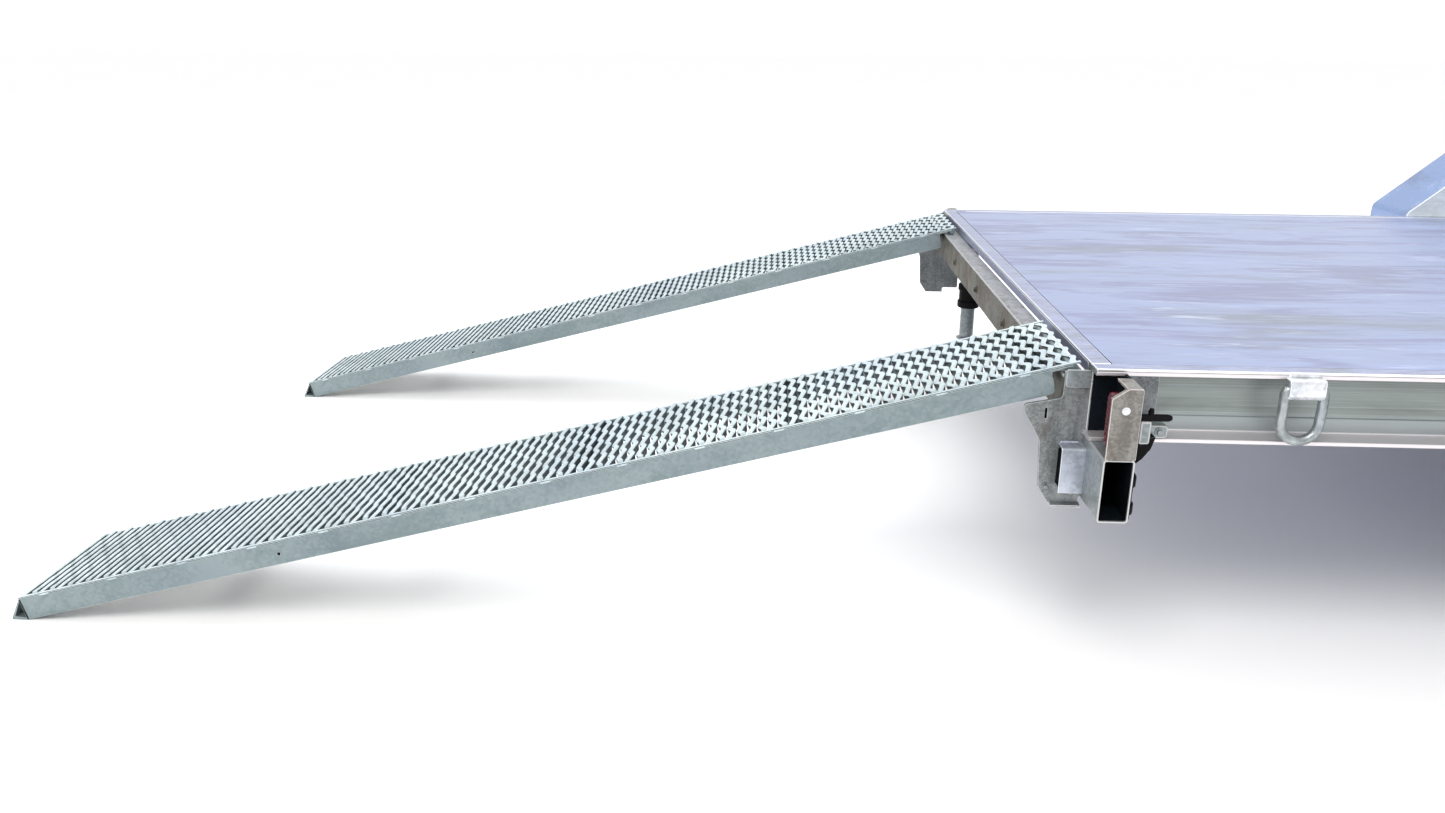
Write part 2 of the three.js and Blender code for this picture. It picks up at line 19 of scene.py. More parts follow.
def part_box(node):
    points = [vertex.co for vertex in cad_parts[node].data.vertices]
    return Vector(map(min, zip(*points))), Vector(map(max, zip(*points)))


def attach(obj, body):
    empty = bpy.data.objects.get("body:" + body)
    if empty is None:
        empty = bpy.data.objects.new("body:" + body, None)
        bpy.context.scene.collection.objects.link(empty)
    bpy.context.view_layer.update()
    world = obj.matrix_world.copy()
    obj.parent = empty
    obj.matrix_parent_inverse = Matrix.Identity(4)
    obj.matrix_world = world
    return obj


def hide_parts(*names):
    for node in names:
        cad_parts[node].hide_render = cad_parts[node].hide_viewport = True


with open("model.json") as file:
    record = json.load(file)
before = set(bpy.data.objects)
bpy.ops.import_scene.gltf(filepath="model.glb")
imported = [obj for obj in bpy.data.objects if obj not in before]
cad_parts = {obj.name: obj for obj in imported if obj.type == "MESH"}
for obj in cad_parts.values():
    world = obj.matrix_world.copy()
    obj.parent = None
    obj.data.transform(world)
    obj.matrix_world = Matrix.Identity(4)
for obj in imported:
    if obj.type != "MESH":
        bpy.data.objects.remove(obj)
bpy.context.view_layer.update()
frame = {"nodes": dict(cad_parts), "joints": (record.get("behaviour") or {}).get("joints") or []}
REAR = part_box("deck")[0].x      # the deck's rear edge, from which places along x are counted

log = logging.getLogger("trailer")

RUB_AND_LIGHT = "edge_wear"          # face attribute: 1 on softened edges and marked faces, 0 elsewhere; it gives them the edge colour, which is rubbed edges and painted highlight, and painted shade on the ramp mesh's strand flanks
HARD_EDGE = math.radians(31)
SMOOTH_ANGLE = math.radians(38)
SOFT = 0.0012               # how far a cut metal edge is rounded

Point2 = tuple[float, float]
Point3 = Sequence[float]
Settings = Mapping[str, object]
Inputs = Mapping[str | int, object]
Colour = tuple[float, float, float, float]
Window = tuple[float, float, float, float]      # rear, front, foot and head

COOL_CAST = (0.62, 0.66, 0.80, 1.0)     # what the bluish patches of zinc are multiplied by


# ---- choices


class Side(Enum):
    """A side of the trailer and the sign of its y."""

    RIGHT = -1
    LEFT = 1

    @property
    def word(self) -> str:
        """The side's word in piece and body names."""
        return self.name.lower()

    def out(self, y: float) -> float:
        """The y of a place that is this far out from the centre line."""
        return self.value * y

    def section(self, outline: Iterable[tuple[float, float]]) -> list[tuple[float, float]]:
        """An outline given as distance out and height, on this side."""
        return [(self.out(y), z) for y, z in outline]


class Along(Enum):
    """The axis a section is pushed along; its value holds the section's two axes, then that one."""

    X = (1, 2, 0)
    Y = (0, 2, 1)
    Z = (0, 1, 2)

    def point(self, a: float, b: float, c: float) -> Vector:
        """The point at section place (a, b) and depth c."""
        place = Vector((0, 0, 0))
        for axis, value in zip(self.value, (a, b, c)):
            place[axis] = value
        return place


class Slot(Enum):
    """The record's material slots."""

    DECK = "deck_sheet"
    RAIL = "rail_aluminium"
    FENDER = "fender_aluminium"
    ZINC = "galvanised"
    BRIGHT = "bright_zinc"
    WEATHERED = "weathered_zinc"
    BLACK = "black_steel"
    LENS = "lamp_lens"
    TYRE = "tyre"
    RIM = "rim_silver"


# ---- shader maths


class Wire:
    """One output socket that can stand in arithmetic."""

    def __init__(self, graph: "Graph", socket: bpy.types.NodeSocket | None) -> None:
        """Keeps the graph and the socket, which an end node doesn't have."""
        self.graph = graph
        self.socket = socket

    def __add__(self, other: "Wire | float") -> "Wire":
        """self + other."""
        return self.graph.maths("ADD", self, other)

    def __radd__(self, other: float) -> "Wire":
        """other + self."""
        return self.graph.maths("ADD", other, self)

    def __sub__(self, other: "Wire | float") -> "Wire":
        """self - other."""
        return self.graph.maths("SUBTRACT", self, other)

    def __rsub__(self, other: float) -> "Wire":
        """other - self."""
        return self.graph.maths("SUBTRACT", other, self)

    def __mul__(self, other: "Wire | float") -> "Wire":
        """self * other."""
        return self.graph.maths("MULTIPLY", self, other)

    def __rmul__(self, other: float) -> "Wire":
        """other * self."""
        return self.graph.maths("MULTIPLY", other, self)


class Graph:
    """The node tree of one finish."""

    def __init__(self, name: str) -> None:
        """Starts an empty material.

        Args:
            name: The material's name.
        """
        self.material = bpy.data.materials.new(name)
        self.material.use_nodes = True
        self.tree = self.material.node_tree
        self.tree.nodes.clear()
        self._local: Wire | None = None

    def node(self, kind: str, settings: Settings | None = None, inputs: Inputs | None = None,
             output: str | int = 0) -> Wire:
        """Adds a node.

        Args:
            kind: The node's type.
            settings: Its properties, which are set first.
            inputs: Values or wires by socket name or number.
            output: The socket that is handed back.

        Returns:
            The chosen output.
        """
        made = self.tree.nodes.new(kind)
        for key, value in (settings or {}).items():
            setattr(made, key, value)
        for key, value in (inputs or {}).items():
            if isinstance(value, Wire):
                self.tree.links.new(value.socket, made.inputs[key])
            else:
                made.inputs[key].default_value = value
        return Wire(self, made.outputs[output]) if made.outputs else Wire(self, None)

    def maths(self, operation: str, *values: "Wire | float") -> Wire:
        """A Math node of one operation on values."""
        return self.node("ShaderNodeMath", {"operation": operation}, dict(enumerate(values)))

    def local(self, stretch: Point3 = (1, 1, 1)) -> Wire:
        """The place on the piece in metres, stretched along each axis.

        Args:
            stretch: The factor of each axis.

        Returns:
            The vector.
        """
        if self._local is None:
            self._local = self.node("ShaderNodeTexCoord", output="Object")
        if tuple(stretch) == (1, 1, 1):
            return self._local
        return self.node("ShaderNodeVectorMath", {"operation": "MULTIPLY"},
                         {0: self._local, 1: tuple(stretch)})

    def height(self) -> Wire:
        """The z of the place on the piece."""
        return self.node("ShaderNodeSeparateXYZ", inputs={0: self.local()}, output="Z")

    def noise(self, stretch: Point3, detail: float = 3.0, rough: float = 0.55,
              twist: float = 0.0) -> Wire:
        """Cloudy noise; stretch is its cycles per metre along each axis."""
        return self.node("ShaderNodeTexNoise", None, {
            "Vector": self.local(stretch), "Scale": 1.0, "Detail": detail, "Roughness": rough,
            "Distortion": twist})

    def cells(self, per_metre: float, stretch: Point3 = (1, 1, 1)) -> Wire:
        """A random value for each cell of a cellular pattern."""
        colour = self.node("ShaderNodeTexVoronoi", None, {
            "Vector": self.local(stretch), "Scale": per_metre}, output="Color")
        return self.node("ShaderNodeSeparateColor", inputs={0: colour})

    def span(self, value: Wire, low: float, high: float, to_low: float = 0.0,
             to_high: float = 1.0) -> Wire:
        """Eases a value from one range to another, held at its ends."""
        return self.node("ShaderNodeMapRange", {"interpolation_type": "SMOOTHSTEP"}, {
            "Value": value, "From Min": low, "From Max": high, "To Min": to_low,
            "To Max": to_high})

    def mix(self, factor: "Wire | float", first: "Wire | Colour", second: "Wire | Colour",
            blend: str = "MIX") -> Wire:
        """Mixes two colours."""
        return self.node("ShaderNodeMix", {"data_type": "RGBA", "blend_type": blend},
                         {0: factor, 6: first, 7: second}, output=2)

    def worn(self) -> Wire:
        """1 on softened edges and marked faces, 0 elsewhere: the mask of rubbed edges, painted
        highlights and, on the ramp mesh, painted shade.
        """
        return self.node("ShaderNodeAttribute",
                         {"attribute_name": RUB_AND_LIGHT, "attribute_type": "GEOMETRY"}, output="Fac")

    def bump(self, relief: Wire, depth: float, strength: float = 1.0) -> Wire:
        """A normal from a relief, with its depth in metres."""
        return self.node("ShaderNodeBump", None, {
            "Height": relief, "Distance": depth, "Strength": strength})

    def close(self, inputs: Inputs) -> bpy.types.Material:
        """Ends the tree in one surface shader.

        Args:
            inputs: The shader's sockets.

        Returns:
            The finished material.
        """
        shader = self.node("ShaderNodeBsdfPrincipled", None, inputs)
        self.node("ShaderNodeOutputMaterial", None, {"Surface": shader})
        return self.material


# ---- finishes


def grey(value: float, warm: float = 0.0, blue: float = 0.0) -> Colour:
    """A grey with a little warmth or blue in it."""
    return (value + warm, value + warm * 0.3, value + blue - warm * 0.6, 1.0)


@dataclass(frozen=True)
class DippedZinc:
    """Hot-dipped zinc: spangle, cloudy patches, run-off streaks, stains and bright edges, partly
    rubbed and partly painted highlight; where the edge colour is near black it is painted shade.
    """

    name: str
    pale: Colour
    dull: Colour
    stain: Colour
    edge: Colour
    stained: float          # share of the surface that is stained
    roughness: float
    metal: float
    streak: Point3          # cycles per metre of the streaks along each axis
    patch: float = 9.0
    spangle: float = 150.0
    sheen: float = 0.5

    def material(self) -> bpy.types.Material:
        """Writes the material.

        Returns:
            The material.
        """
        g = Graph(self.name)
        spangle = g.cells(self.spangle)
        cloud = g.noise((self.patch,) * 3, 5.0, 0.6, 0.4)
        run = g.noise(self.streak, 3.0, 0.5)
        tone = cloud * 0.5 + run * 0.36 + spangle * 0.14
        colour = g.mix(g.span(tone, 0.34, 0.62), self.dull, self.pale)
        tint = g.noise((self.patch * 0.5,) * 3, 2.0)
        colour = g.mix(g.span(tint, 0.42, 0.7, 0.0, 0.35), colour, COOL_CAST, "MULTIPLY")
        blot = g.noise((self.patch * 1.7, self.patch * 1.7, self.patch), 6.0, 0.7, 0.8)
        marks = g.span(blot + run * 0.25, 0.78 - self.stained * 0.35, 0.92 - self.stained * 0.3)
        colour = g.mix(marks * 0.85, colour, self.stain)
        # edge colour on the marked faces: rubbed edges and painted highlight; near black on the
        # ramp mesh and in the cavities, painted shade
        colour = g.mix(g.worn() * 0.8, colour, self.edge)
        grain = g.noise((900, 900, 900), 2.0)
        relief = grain * 0.35 + spangle * 0.2 + cloud * 0.9
        return g.close({
            "Base Color": colour,
            "Metallic": self.metal - marks * 0.3,
            "Roughness": self.roughness + (0.5 - tone) * 0.3 + marks * 0.15,
            "Specular IOR Level": self.sheen,
            "Normal": g.bump(relief, 0.0007, 0.6),
        })


@dataclass(frozen=True)
class MillSheet:
    """Rolled aluminium sheet with long smears and polished flares along one axis."""

    name: str
    pale: Colour
    smear: Colour
    dull: Colour
    flare: Colour
    run: Point3             # cycles per metre of the broad smears
    edge: Colour
    roughness: float = 0.34
    metal: float = 0.8

    def material(self) -> bpy.types.Material:
        """Writes the material.

        Returns:
            The material.
        """
        g = Graph(self.name)
        x, y, z = self.run
        broad = g.noise((x, y, z), 5.0, 0.62, 1.2)
        fine = g.noise((x * 2.6, y * 4.0, z * 4.0), 4.0, 0.6, 0.6)
        hair = g.noise((x * 9.0, y * 60.0, z * 60.0), 2.0)
        patch = g.noise((x * 0.9, y * 0.45, z * 0.45), 3.0, 0.5, 0.5)
        colour = g.mix(g.span(broad + (fine - 0.5) * 0.5, 0.44, 0.62), self.pale, self.smear)
        colour = g.mix(g.span(patch * 0.6 + fine * 0.4, 0.5, 0.64, 0.0, 0.8), colour, self.dull)
        colour = g.mix(g.span(fine * 0.6 + hair * 0.4, 0.54, 0.66, 0.0, 0.75), colour, self.flare)
        # bright edge colour on the marked faces: rubbed edges and painted highlight
        colour = g.mix(g.worn() * 0.9, colour, self.edge)
        dent = g.noise((2.2, 3.4, 3.4), 2.0)
        relief = dent * 6.0 + hair * 0.12 + fine * 0.4
        return g.close({
            "Base Color": colour,
            "Metallic": self.metal,
            "Roughness": self.roughness + (fine - 0.5) * 0.4 + (hair - 0.5) * 0.1,
            "Normal": g.bump(relief, 0.0006, 0.5),
        })


@dataclass(frozen=True)
class DrawnRail:
    """Extruded aluminium: bands and die lines along the length, mottled by handling; its upper part
    darkened with painted shade and its low band paler as painted light.
    """

    name: str
    pale: Colour
    dull: Colour
    flare: Colour
    edge: Colour
    foot: Colour            # the low band, out of the deck's shade
    bands: float = 70.0     # die lines per metre of height
    roughness: float = 0.4
    metal: float = 0.75

    def material(self) -> bpy.types.Material:
        """Writes the material.

        Returns:
            The material.
        """
        g = Graph(self.name)
        band = g.noise((0.15, self.bands, self.bands), 3.0, 0.6)
        blot = g.noise((2.4, 9.0, 9.0), 4.0, 0.6, 0.5)
        line = g.noise((0.8, 500, 500), 1.0)
        colour = g.mix(g.span(band * 0.45 + blot * 0.55, 0.38, 0.62), self.dull, self.pale)
        colour = g.mix(g.span(blot * 0.5 + line * 0.5, 0.55, 0.68, 0.0, 0.5), colour, self.flare)
        # painted light and shade: the low band paler, out of the deck's shade, and the upper part
        # darker, in the deck's shade
        rise = g.height() + (blot - 0.5) * 0.012
        colour = g.mix(g.span(rise, 0.516, 0.532, 0.6, 0.0), colour, self.foot)
        colour = g.mix(g.span(rise, 0.560, 0.612, 0.0, 0.45), colour, self.dull)
        colour = g.mix(g.span(g.height(), 0.4895, 0.4935, 0.92, 0.0), colour, self.edge)
        # bright edge colour on the marked faces: rubbed edges and painted highlight
        colour = g.mix(g.worn(), colour, self.edge)
        return g.close({
            "Base Color": colour,
            "Metallic": self.metal,
            "Roughness": self.roughness + (blot - 0.5) * 0.3,
            "Normal": g.bump(band * 0.8 + line * 0.2 + blot, 0.0005, 0.5),
        })


@dataclass(frozen=True)
class Paint:
    """Brushed or sprayed paint: orange peel, dust in patches and rubbed edges."""

    name: str
    coat: Colour
    dust: Colour
    rubbed: Colour
    dusty: float
    roughness: float
    metal: float = 0.0
    gloss: float = 0.2
    sheen: float = 0.5

    def material(self) -> bpy.types.Material:
        """Writes the material.

        Returns:
            The material.
        """
        g = Graph(self.name)
        peel = g.noise((420, 420, 420), 2.0)
        cloud = g.noise((14, 14, 22), 5.0, 0.65, 0.4)
        speck = g.noise((240, 240, 240), 4.0, 0.7)
        dust = g.span(cloud + (speck - 0.5) * 0.3, 0.62 - self.dusty * 0.3, 0.85, 0.0, 0.75)
        colour = g.mix(dust, self.coat, self.dust)
        rub = g.worn() * g.span(cloud, 0.35, 0.6, 0.25, 1.0)
        colour = g.mix(rub * 0.7, colour, self.rubbed)
        return g.close({
            "Base Color": colour,
            "Metallic": self.metal,
            "Roughness": self.roughness + dust * 0.25 + (speck - 0.5) * 0.1,
            "Coat Weight": self.gloss * (1.0 - dust),
            "Coat Roughness": 0.25,
            "Specular IOR Level": self.sheen,
            "Normal": g.bump(peel * 0.5 + speck * 0.5, 0.0003, 0.5),
        })


@dataclass(frozen=True)
class TyreRubber:
    """Tyre rubber with dry dust in its low places and a fine moulded grain."""

    name: str
    rubber: Colour
    dust: Colour

    def material(self) -> bpy.types.Material:
        """Writes the material.

        Returns:
            The material.
        """
        g = Graph(self.name)
        cloud = g.noise((11, 26, 11), 5.0, 0.65, 0.5)
        grain = g.noise((700, 700, 700), 2.0)
        scuff = g.noise((30, 120, 30), 4.0, 0.6)
        dust = g.span(cloud * 0.7 + scuff * 0.3, 0.42, 0.68, 0.05, 0.5)
        return g.close({
            "Base Color": g.mix(dust, self.rubber, self.dust),
            "Roughness": 0.72 + dust * 0.2 + (grain - 0.5) * 0.1,
            "Normal": g.bump(grain * 0.5 + scuff * 0.6, 0.0005, 0.6),
        })


@dataclass(frozen=True)
class MouldedLens:
    """Moulded lamp plastic with a deep colour, a hard gloss and a film of dust."""

    name: str
    tint: Colour
    dust: Colour
    spread: float = 0.25

    def material(self) -> bpy.types.Material:
        """Writes the material.

        Returns:
            The material.
        """
        g = Graph(self.name)
        film = g.span(g.noise((40, 40, 60), 5.0, 0.6), 0.45, 0.8, 0.0, 0.3)
        depth = g.noise((25, 25, 25), 2.0)
        colour = g.mix(depth * self.spread, self.tint, (0.0, 0.0, 0.0, 1.0))
        return g.close({
            "Base Color": g.mix(film, colour, self.dust),
            "Roughness": 0.12 + film * 0.6,
            "Specular IOR Level": 0.2,
            "Coat Weight": 0.1 - film * 0.3,
            "Coat Roughness": 0.08,
            "Normal": g.bump(depth, 0.0003, 0.3),
        })


class Finishes:
    """Every finish on the trailer, written once."""

    def __init__(self) -> None:
        """Writes the materials."""
        white = grey(0.93)
        self.deck = MillSheet(
            "deck_mill_sheet", pale=(0.32, 0.38, 0.58, 1), smear=(0.235, 0.255, 0.42, 1),
            dull=(0.225, 0.255, 0.30, 1), flare=(0.56, 0.62, 0.80, 1), run=(1.2, 6.0, 6.0),
            edge=white).material()
        self.border = MillSheet(
            "deck_border_strip", pale=(0.35, 0.39, 0.54, 1), smear=(0.27, 0.28, 0.41, 1),
            dull=(0.27, 0.29, 0.34, 1), flare=(0.58, 0.62, 0.74, 1), run=(14.0, 60.0, 60.0),
            edge=white, roughness=0.38).material()
        self.fender = MillSheet(
            "fender_sheet", pale=(0.26, 0.36, 0.60, 1), smear=(0.22, 0.29, 0.47, 1),
            dull=(0.27, 0.33, 0.44, 1), flare=(0.42, 0.52, 0.74, 1), run=(3.0, 3.0, 3.0),
            edge=white, roughness=0.3).material()
        self.panel = MillSheet(
            "fender_panel_sheet", pale=(0.66, 0.71, 0.72, 1), smear=(0.56, 0.60, 0.62, 1),
            dull=(0.52, 0.56, 0.56, 1), flare=(0.84, 0.88, 0.88, 1), run=(4.0, 4.0, 7.0),
            edge=white, roughness=0.45, metal=0.25).material()
        self.rail = DrawnRail(
            "side_rail_extrusion", pale=(0.255, 0.285, 0.275, 1), dull=(0.135, 0.155, 0.145, 1),
            flare=(0.40, 0.43, 0.46, 1), edge=(0.74, 0.70, 0.72, 1),
            foot=(0.40, 0.44, 0.46, 1)).material()
        self.zinc = DippedZinc(
            "chassis_zinc", pale=(0.34, 0.37, 0.375, 1), dull=(0.19, 0.215, 0.215, 1),
            stain=(0.15, 0.14, 0.12, 1), edge=grey(0.56), stained=0.25, roughness=0.42, metal=0.6,
            streak=(16, 16, 2.5)).material()
        self.ramp = DippedZinc(
            "ramp_side_zinc", pale=(0.235, 0.285, 0.30, 1), dull=(0.165, 0.215, 0.225, 1),
            stain=(0.17, 0.20, 0.20, 1), edge=(0.42, 0.48, 0.48, 1), stained=0.1, roughness=0.42,
            metal=0.5, streak=(3.0, 30, 14)).material()
        # the near-black edge colour paints shade on the strands' flanks and feet and on the strips'
        # softened edges
        self.mesh = DippedZinc(
            "ramp_mesh_zinc", pale=(0.56, 0.64, 0.66, 1), dull=(0.40, 0.47, 0.49, 1),
            stain=(0.28, 0.33, 0.34, 1), edge=(0.012, 0.017, 0.020, 1), stained=0.05,
            roughness=0.5, metal=0.15, streak=(8, 8, 40), patch=5.0, spangle=220.0,
            sheen=0.2).material()
        self.gusset = DippedZinc(
            "gusset_zinc", pale=(0.26, 0.275, 0.28, 1), dull=(0.115, 0.13, 0.132, 1),
            stain=(0.085, 0.08, 0.078, 1), edge=grey(0.80), stained=0.32, roughness=0.46,
            metal=0.5, streak=(40, 40, 2.5), patch=7.0, spangle=260.0).material()
        self.guard = DippedZinc(
            "lamp_guard_zinc", pale=(0.28, 0.27, 0.245, 1), dull=(0.15, 0.137, 0.12, 1),
            stain=(0.10, 0.078, 0.064, 1), edge=(0.74, 0.66, 0.67, 1), stained=0.4,
            roughness=0.47, metal=0.5, streak=(44, 44, 5.0), patch=9.0, spangle=260.0).material()
        self.stop = DippedZinc(
            "stop_plate_zinc", pale=(0.50, 0.53, 0.60, 1), dull=(0.33, 0.355, 0.39, 1),
            stain=(0.22, 0.22, 0.21, 1), edge=grey(0.95), stained=0.2, roughness=0.36, metal=0.65,
            streak=(30, 30, 6.0), patch=20.0).material()
        # very dark finish: stains, and on the rear member partly painted shade below the deck's
        # edge; it also dresses the brake drums
        self.stained = DippedZinc(
            "rear_member_zinc", pale=(0.10, 0.096, 0.076, 1), dull=(0.042, 0.040, 0.032, 1),
            stain=(0.060, 0.042, 0.028, 1), edge=grey(0.32), stained=0.5, roughness=0.58,
            metal=0.35, streak=(12, 10, 5.0), patch=9.0).material()
        self.ledge = DippedZinc(
            "ledge_zinc", pale=(0.30, 0.31, 0.33, 1), dull=(0.17, 0.175, 0.175, 1),
            stain=(0.12, 0.105, 0.09, 1), edge=grey(0.5), stained=0.35, roughness=0.45, metal=0.5,
            streak=(30, 4, 30), patch=20.0).material()
        # painted shade: a near-black finish for the tube's inside, the gaps, the lamp's recess and
        # the drain holes, where only shade falls
        self.inside = DippedZinc(
            "dark_cavity_zinc", pale=(0.006, 0.009, 0.013, 1), dull=(0.001, 0.0015, 0.002, 1),
            stain=(0.006, 0.004, 0.004, 1), edge=(0.02, 0.02, 0.024, 1), stained=0.4,
            roughness=0.7, metal=0.0, streak=(20, 20, 5.0), sheen=0.05).material()
        self.bright = DippedZinc(
            "bright_zinc", pale=(0.80, 0.82, 0.84, 1), dull=(0.50, 0.52, 0.54, 1),
            stain=(0.32, 0.31, 0.29, 1), edge=grey(0.98), stained=0.12, roughness=0.3, metal=0.7,
            streak=(18, 18, 6.0), patch=26.0).material()
        self.ring = DippedZinc(
            "ring_zinc", pale=(0.42, 0.45, 0.46, 1), dull=(0.24, 0.265, 0.27, 1),
            stain=(0.18, 0.17, 0.15, 1), edge=grey(0.7), stained=0.2, roughness=0.32, metal=0.75,
            streak=(30, 30, 12.0), patch=22.0).material()
        self.black = Paint(
            "black_enamel", coat=(0.006, 0.006, 0.007, 1), dust=(0.040, 0.039, 0.038, 1),
            rubbed=(0.055, 0.055, 0.06, 1), dusty=0.12, roughness=0.46, metal=0.0, gloss=0.0,
            sheen=0.06).material()
        self.silver = Paint(
            "wheel_silver", coat=(0.42, 0.43, 0.45, 1), dust=(0.20, 0.17, 0.14, 1),
            rubbed=(0.60, 0.61, 0.62, 1), dusty=0.5, roughness=0.36, metal=0.6,
            gloss=0.3).material()
        self.tyre = TyreRubber(
            "tyre_rubber", rubber=(0.014, 0.014, 0.016, 1),
            dust=(0.085, 0.075, 0.065, 1)).material()
        self.lens = MouldedLens(
            "tail_lamp_red", tint=(0.085, 0.001, 0.008, 1), dust=(0.10, 0.012, 0.018, 1),
            spread=0.4).material()


# ---- metalwork


def filleted(points: Sequence[Point2], radius: float | Mapping[int, float],
             steps: int = 4) -> list[Point2]:
    """Rounds the corners of a closed outline.

    Args:
        points: The corners in order.
        radius: One radius, or the radius of each corner to round, by number.
        steps: Straight pieces to a corner.

    Returns:
        The rounded outline.
    """
    rounded: list[Point2] = []
    for i, corner in enumerate(points):
        size = radius.get(i, 0.0) if isinstance(radius, Mapping) else radius
        here = Vector(corner)
        before, after = Vector(points[i - 1]) - here, Vector(points[(i + 1) % len(points)]) - here
        bend = before.angle(after, math.pi)
        reach = min(size / math.tan(bend / 2), before.length * 0.48, after.length * 0.48)
        if size <= 0 or bend > math.radians(176):
            rounded.append((here.x, here.y))
            continue
        start, end = here + before.normalized() * reach, here + after.normalized() * reach
        for k in range(steps + 1):
            t = k / steps
            p = start * (1 - t) ** 2 + here * 2 * t * (1 - t) + end * t ** 2
            rounded.append((p.x, p.y))
    return rounded


def rectangle(a0: float, a1: float, b0: float, b1: float) -> list[Point2]:
    """The corners of a rectangle, in order."""
    return [(a0, b0), (a1, b0), (a1, b1), (a0, b1)]


def polar(radius: float, turn: float) -> Point2:
    """The two measures of a place on a circle about the origin."""
    return radius * math.cos(turn), radius * math.sin(turn)


def loft(rings: int, count: int, closed: bool = False) -> list[list[int]]:
    """The faces between rings of as many points, each joined to the next.

    Args:
        rings: How many rings there are.
        count: The points of each.
        closed: Whether the last ring joins the first; if not, both ends are capped.

    Returns:
        The faces, by point number.
    """
    faces = []
    for i in range(rings if closed else rings - 1):
        a, b = i * count, (i + 1) % rings * count
        for k in range(count):
            m = (k + 1) % count
            faces.append([a + k, a + m, b + m, b + k])
    if not closed:
        faces += [list(range(count))[::-1], [(rings - 1) * count + k for k in range(count)]]
    return faces


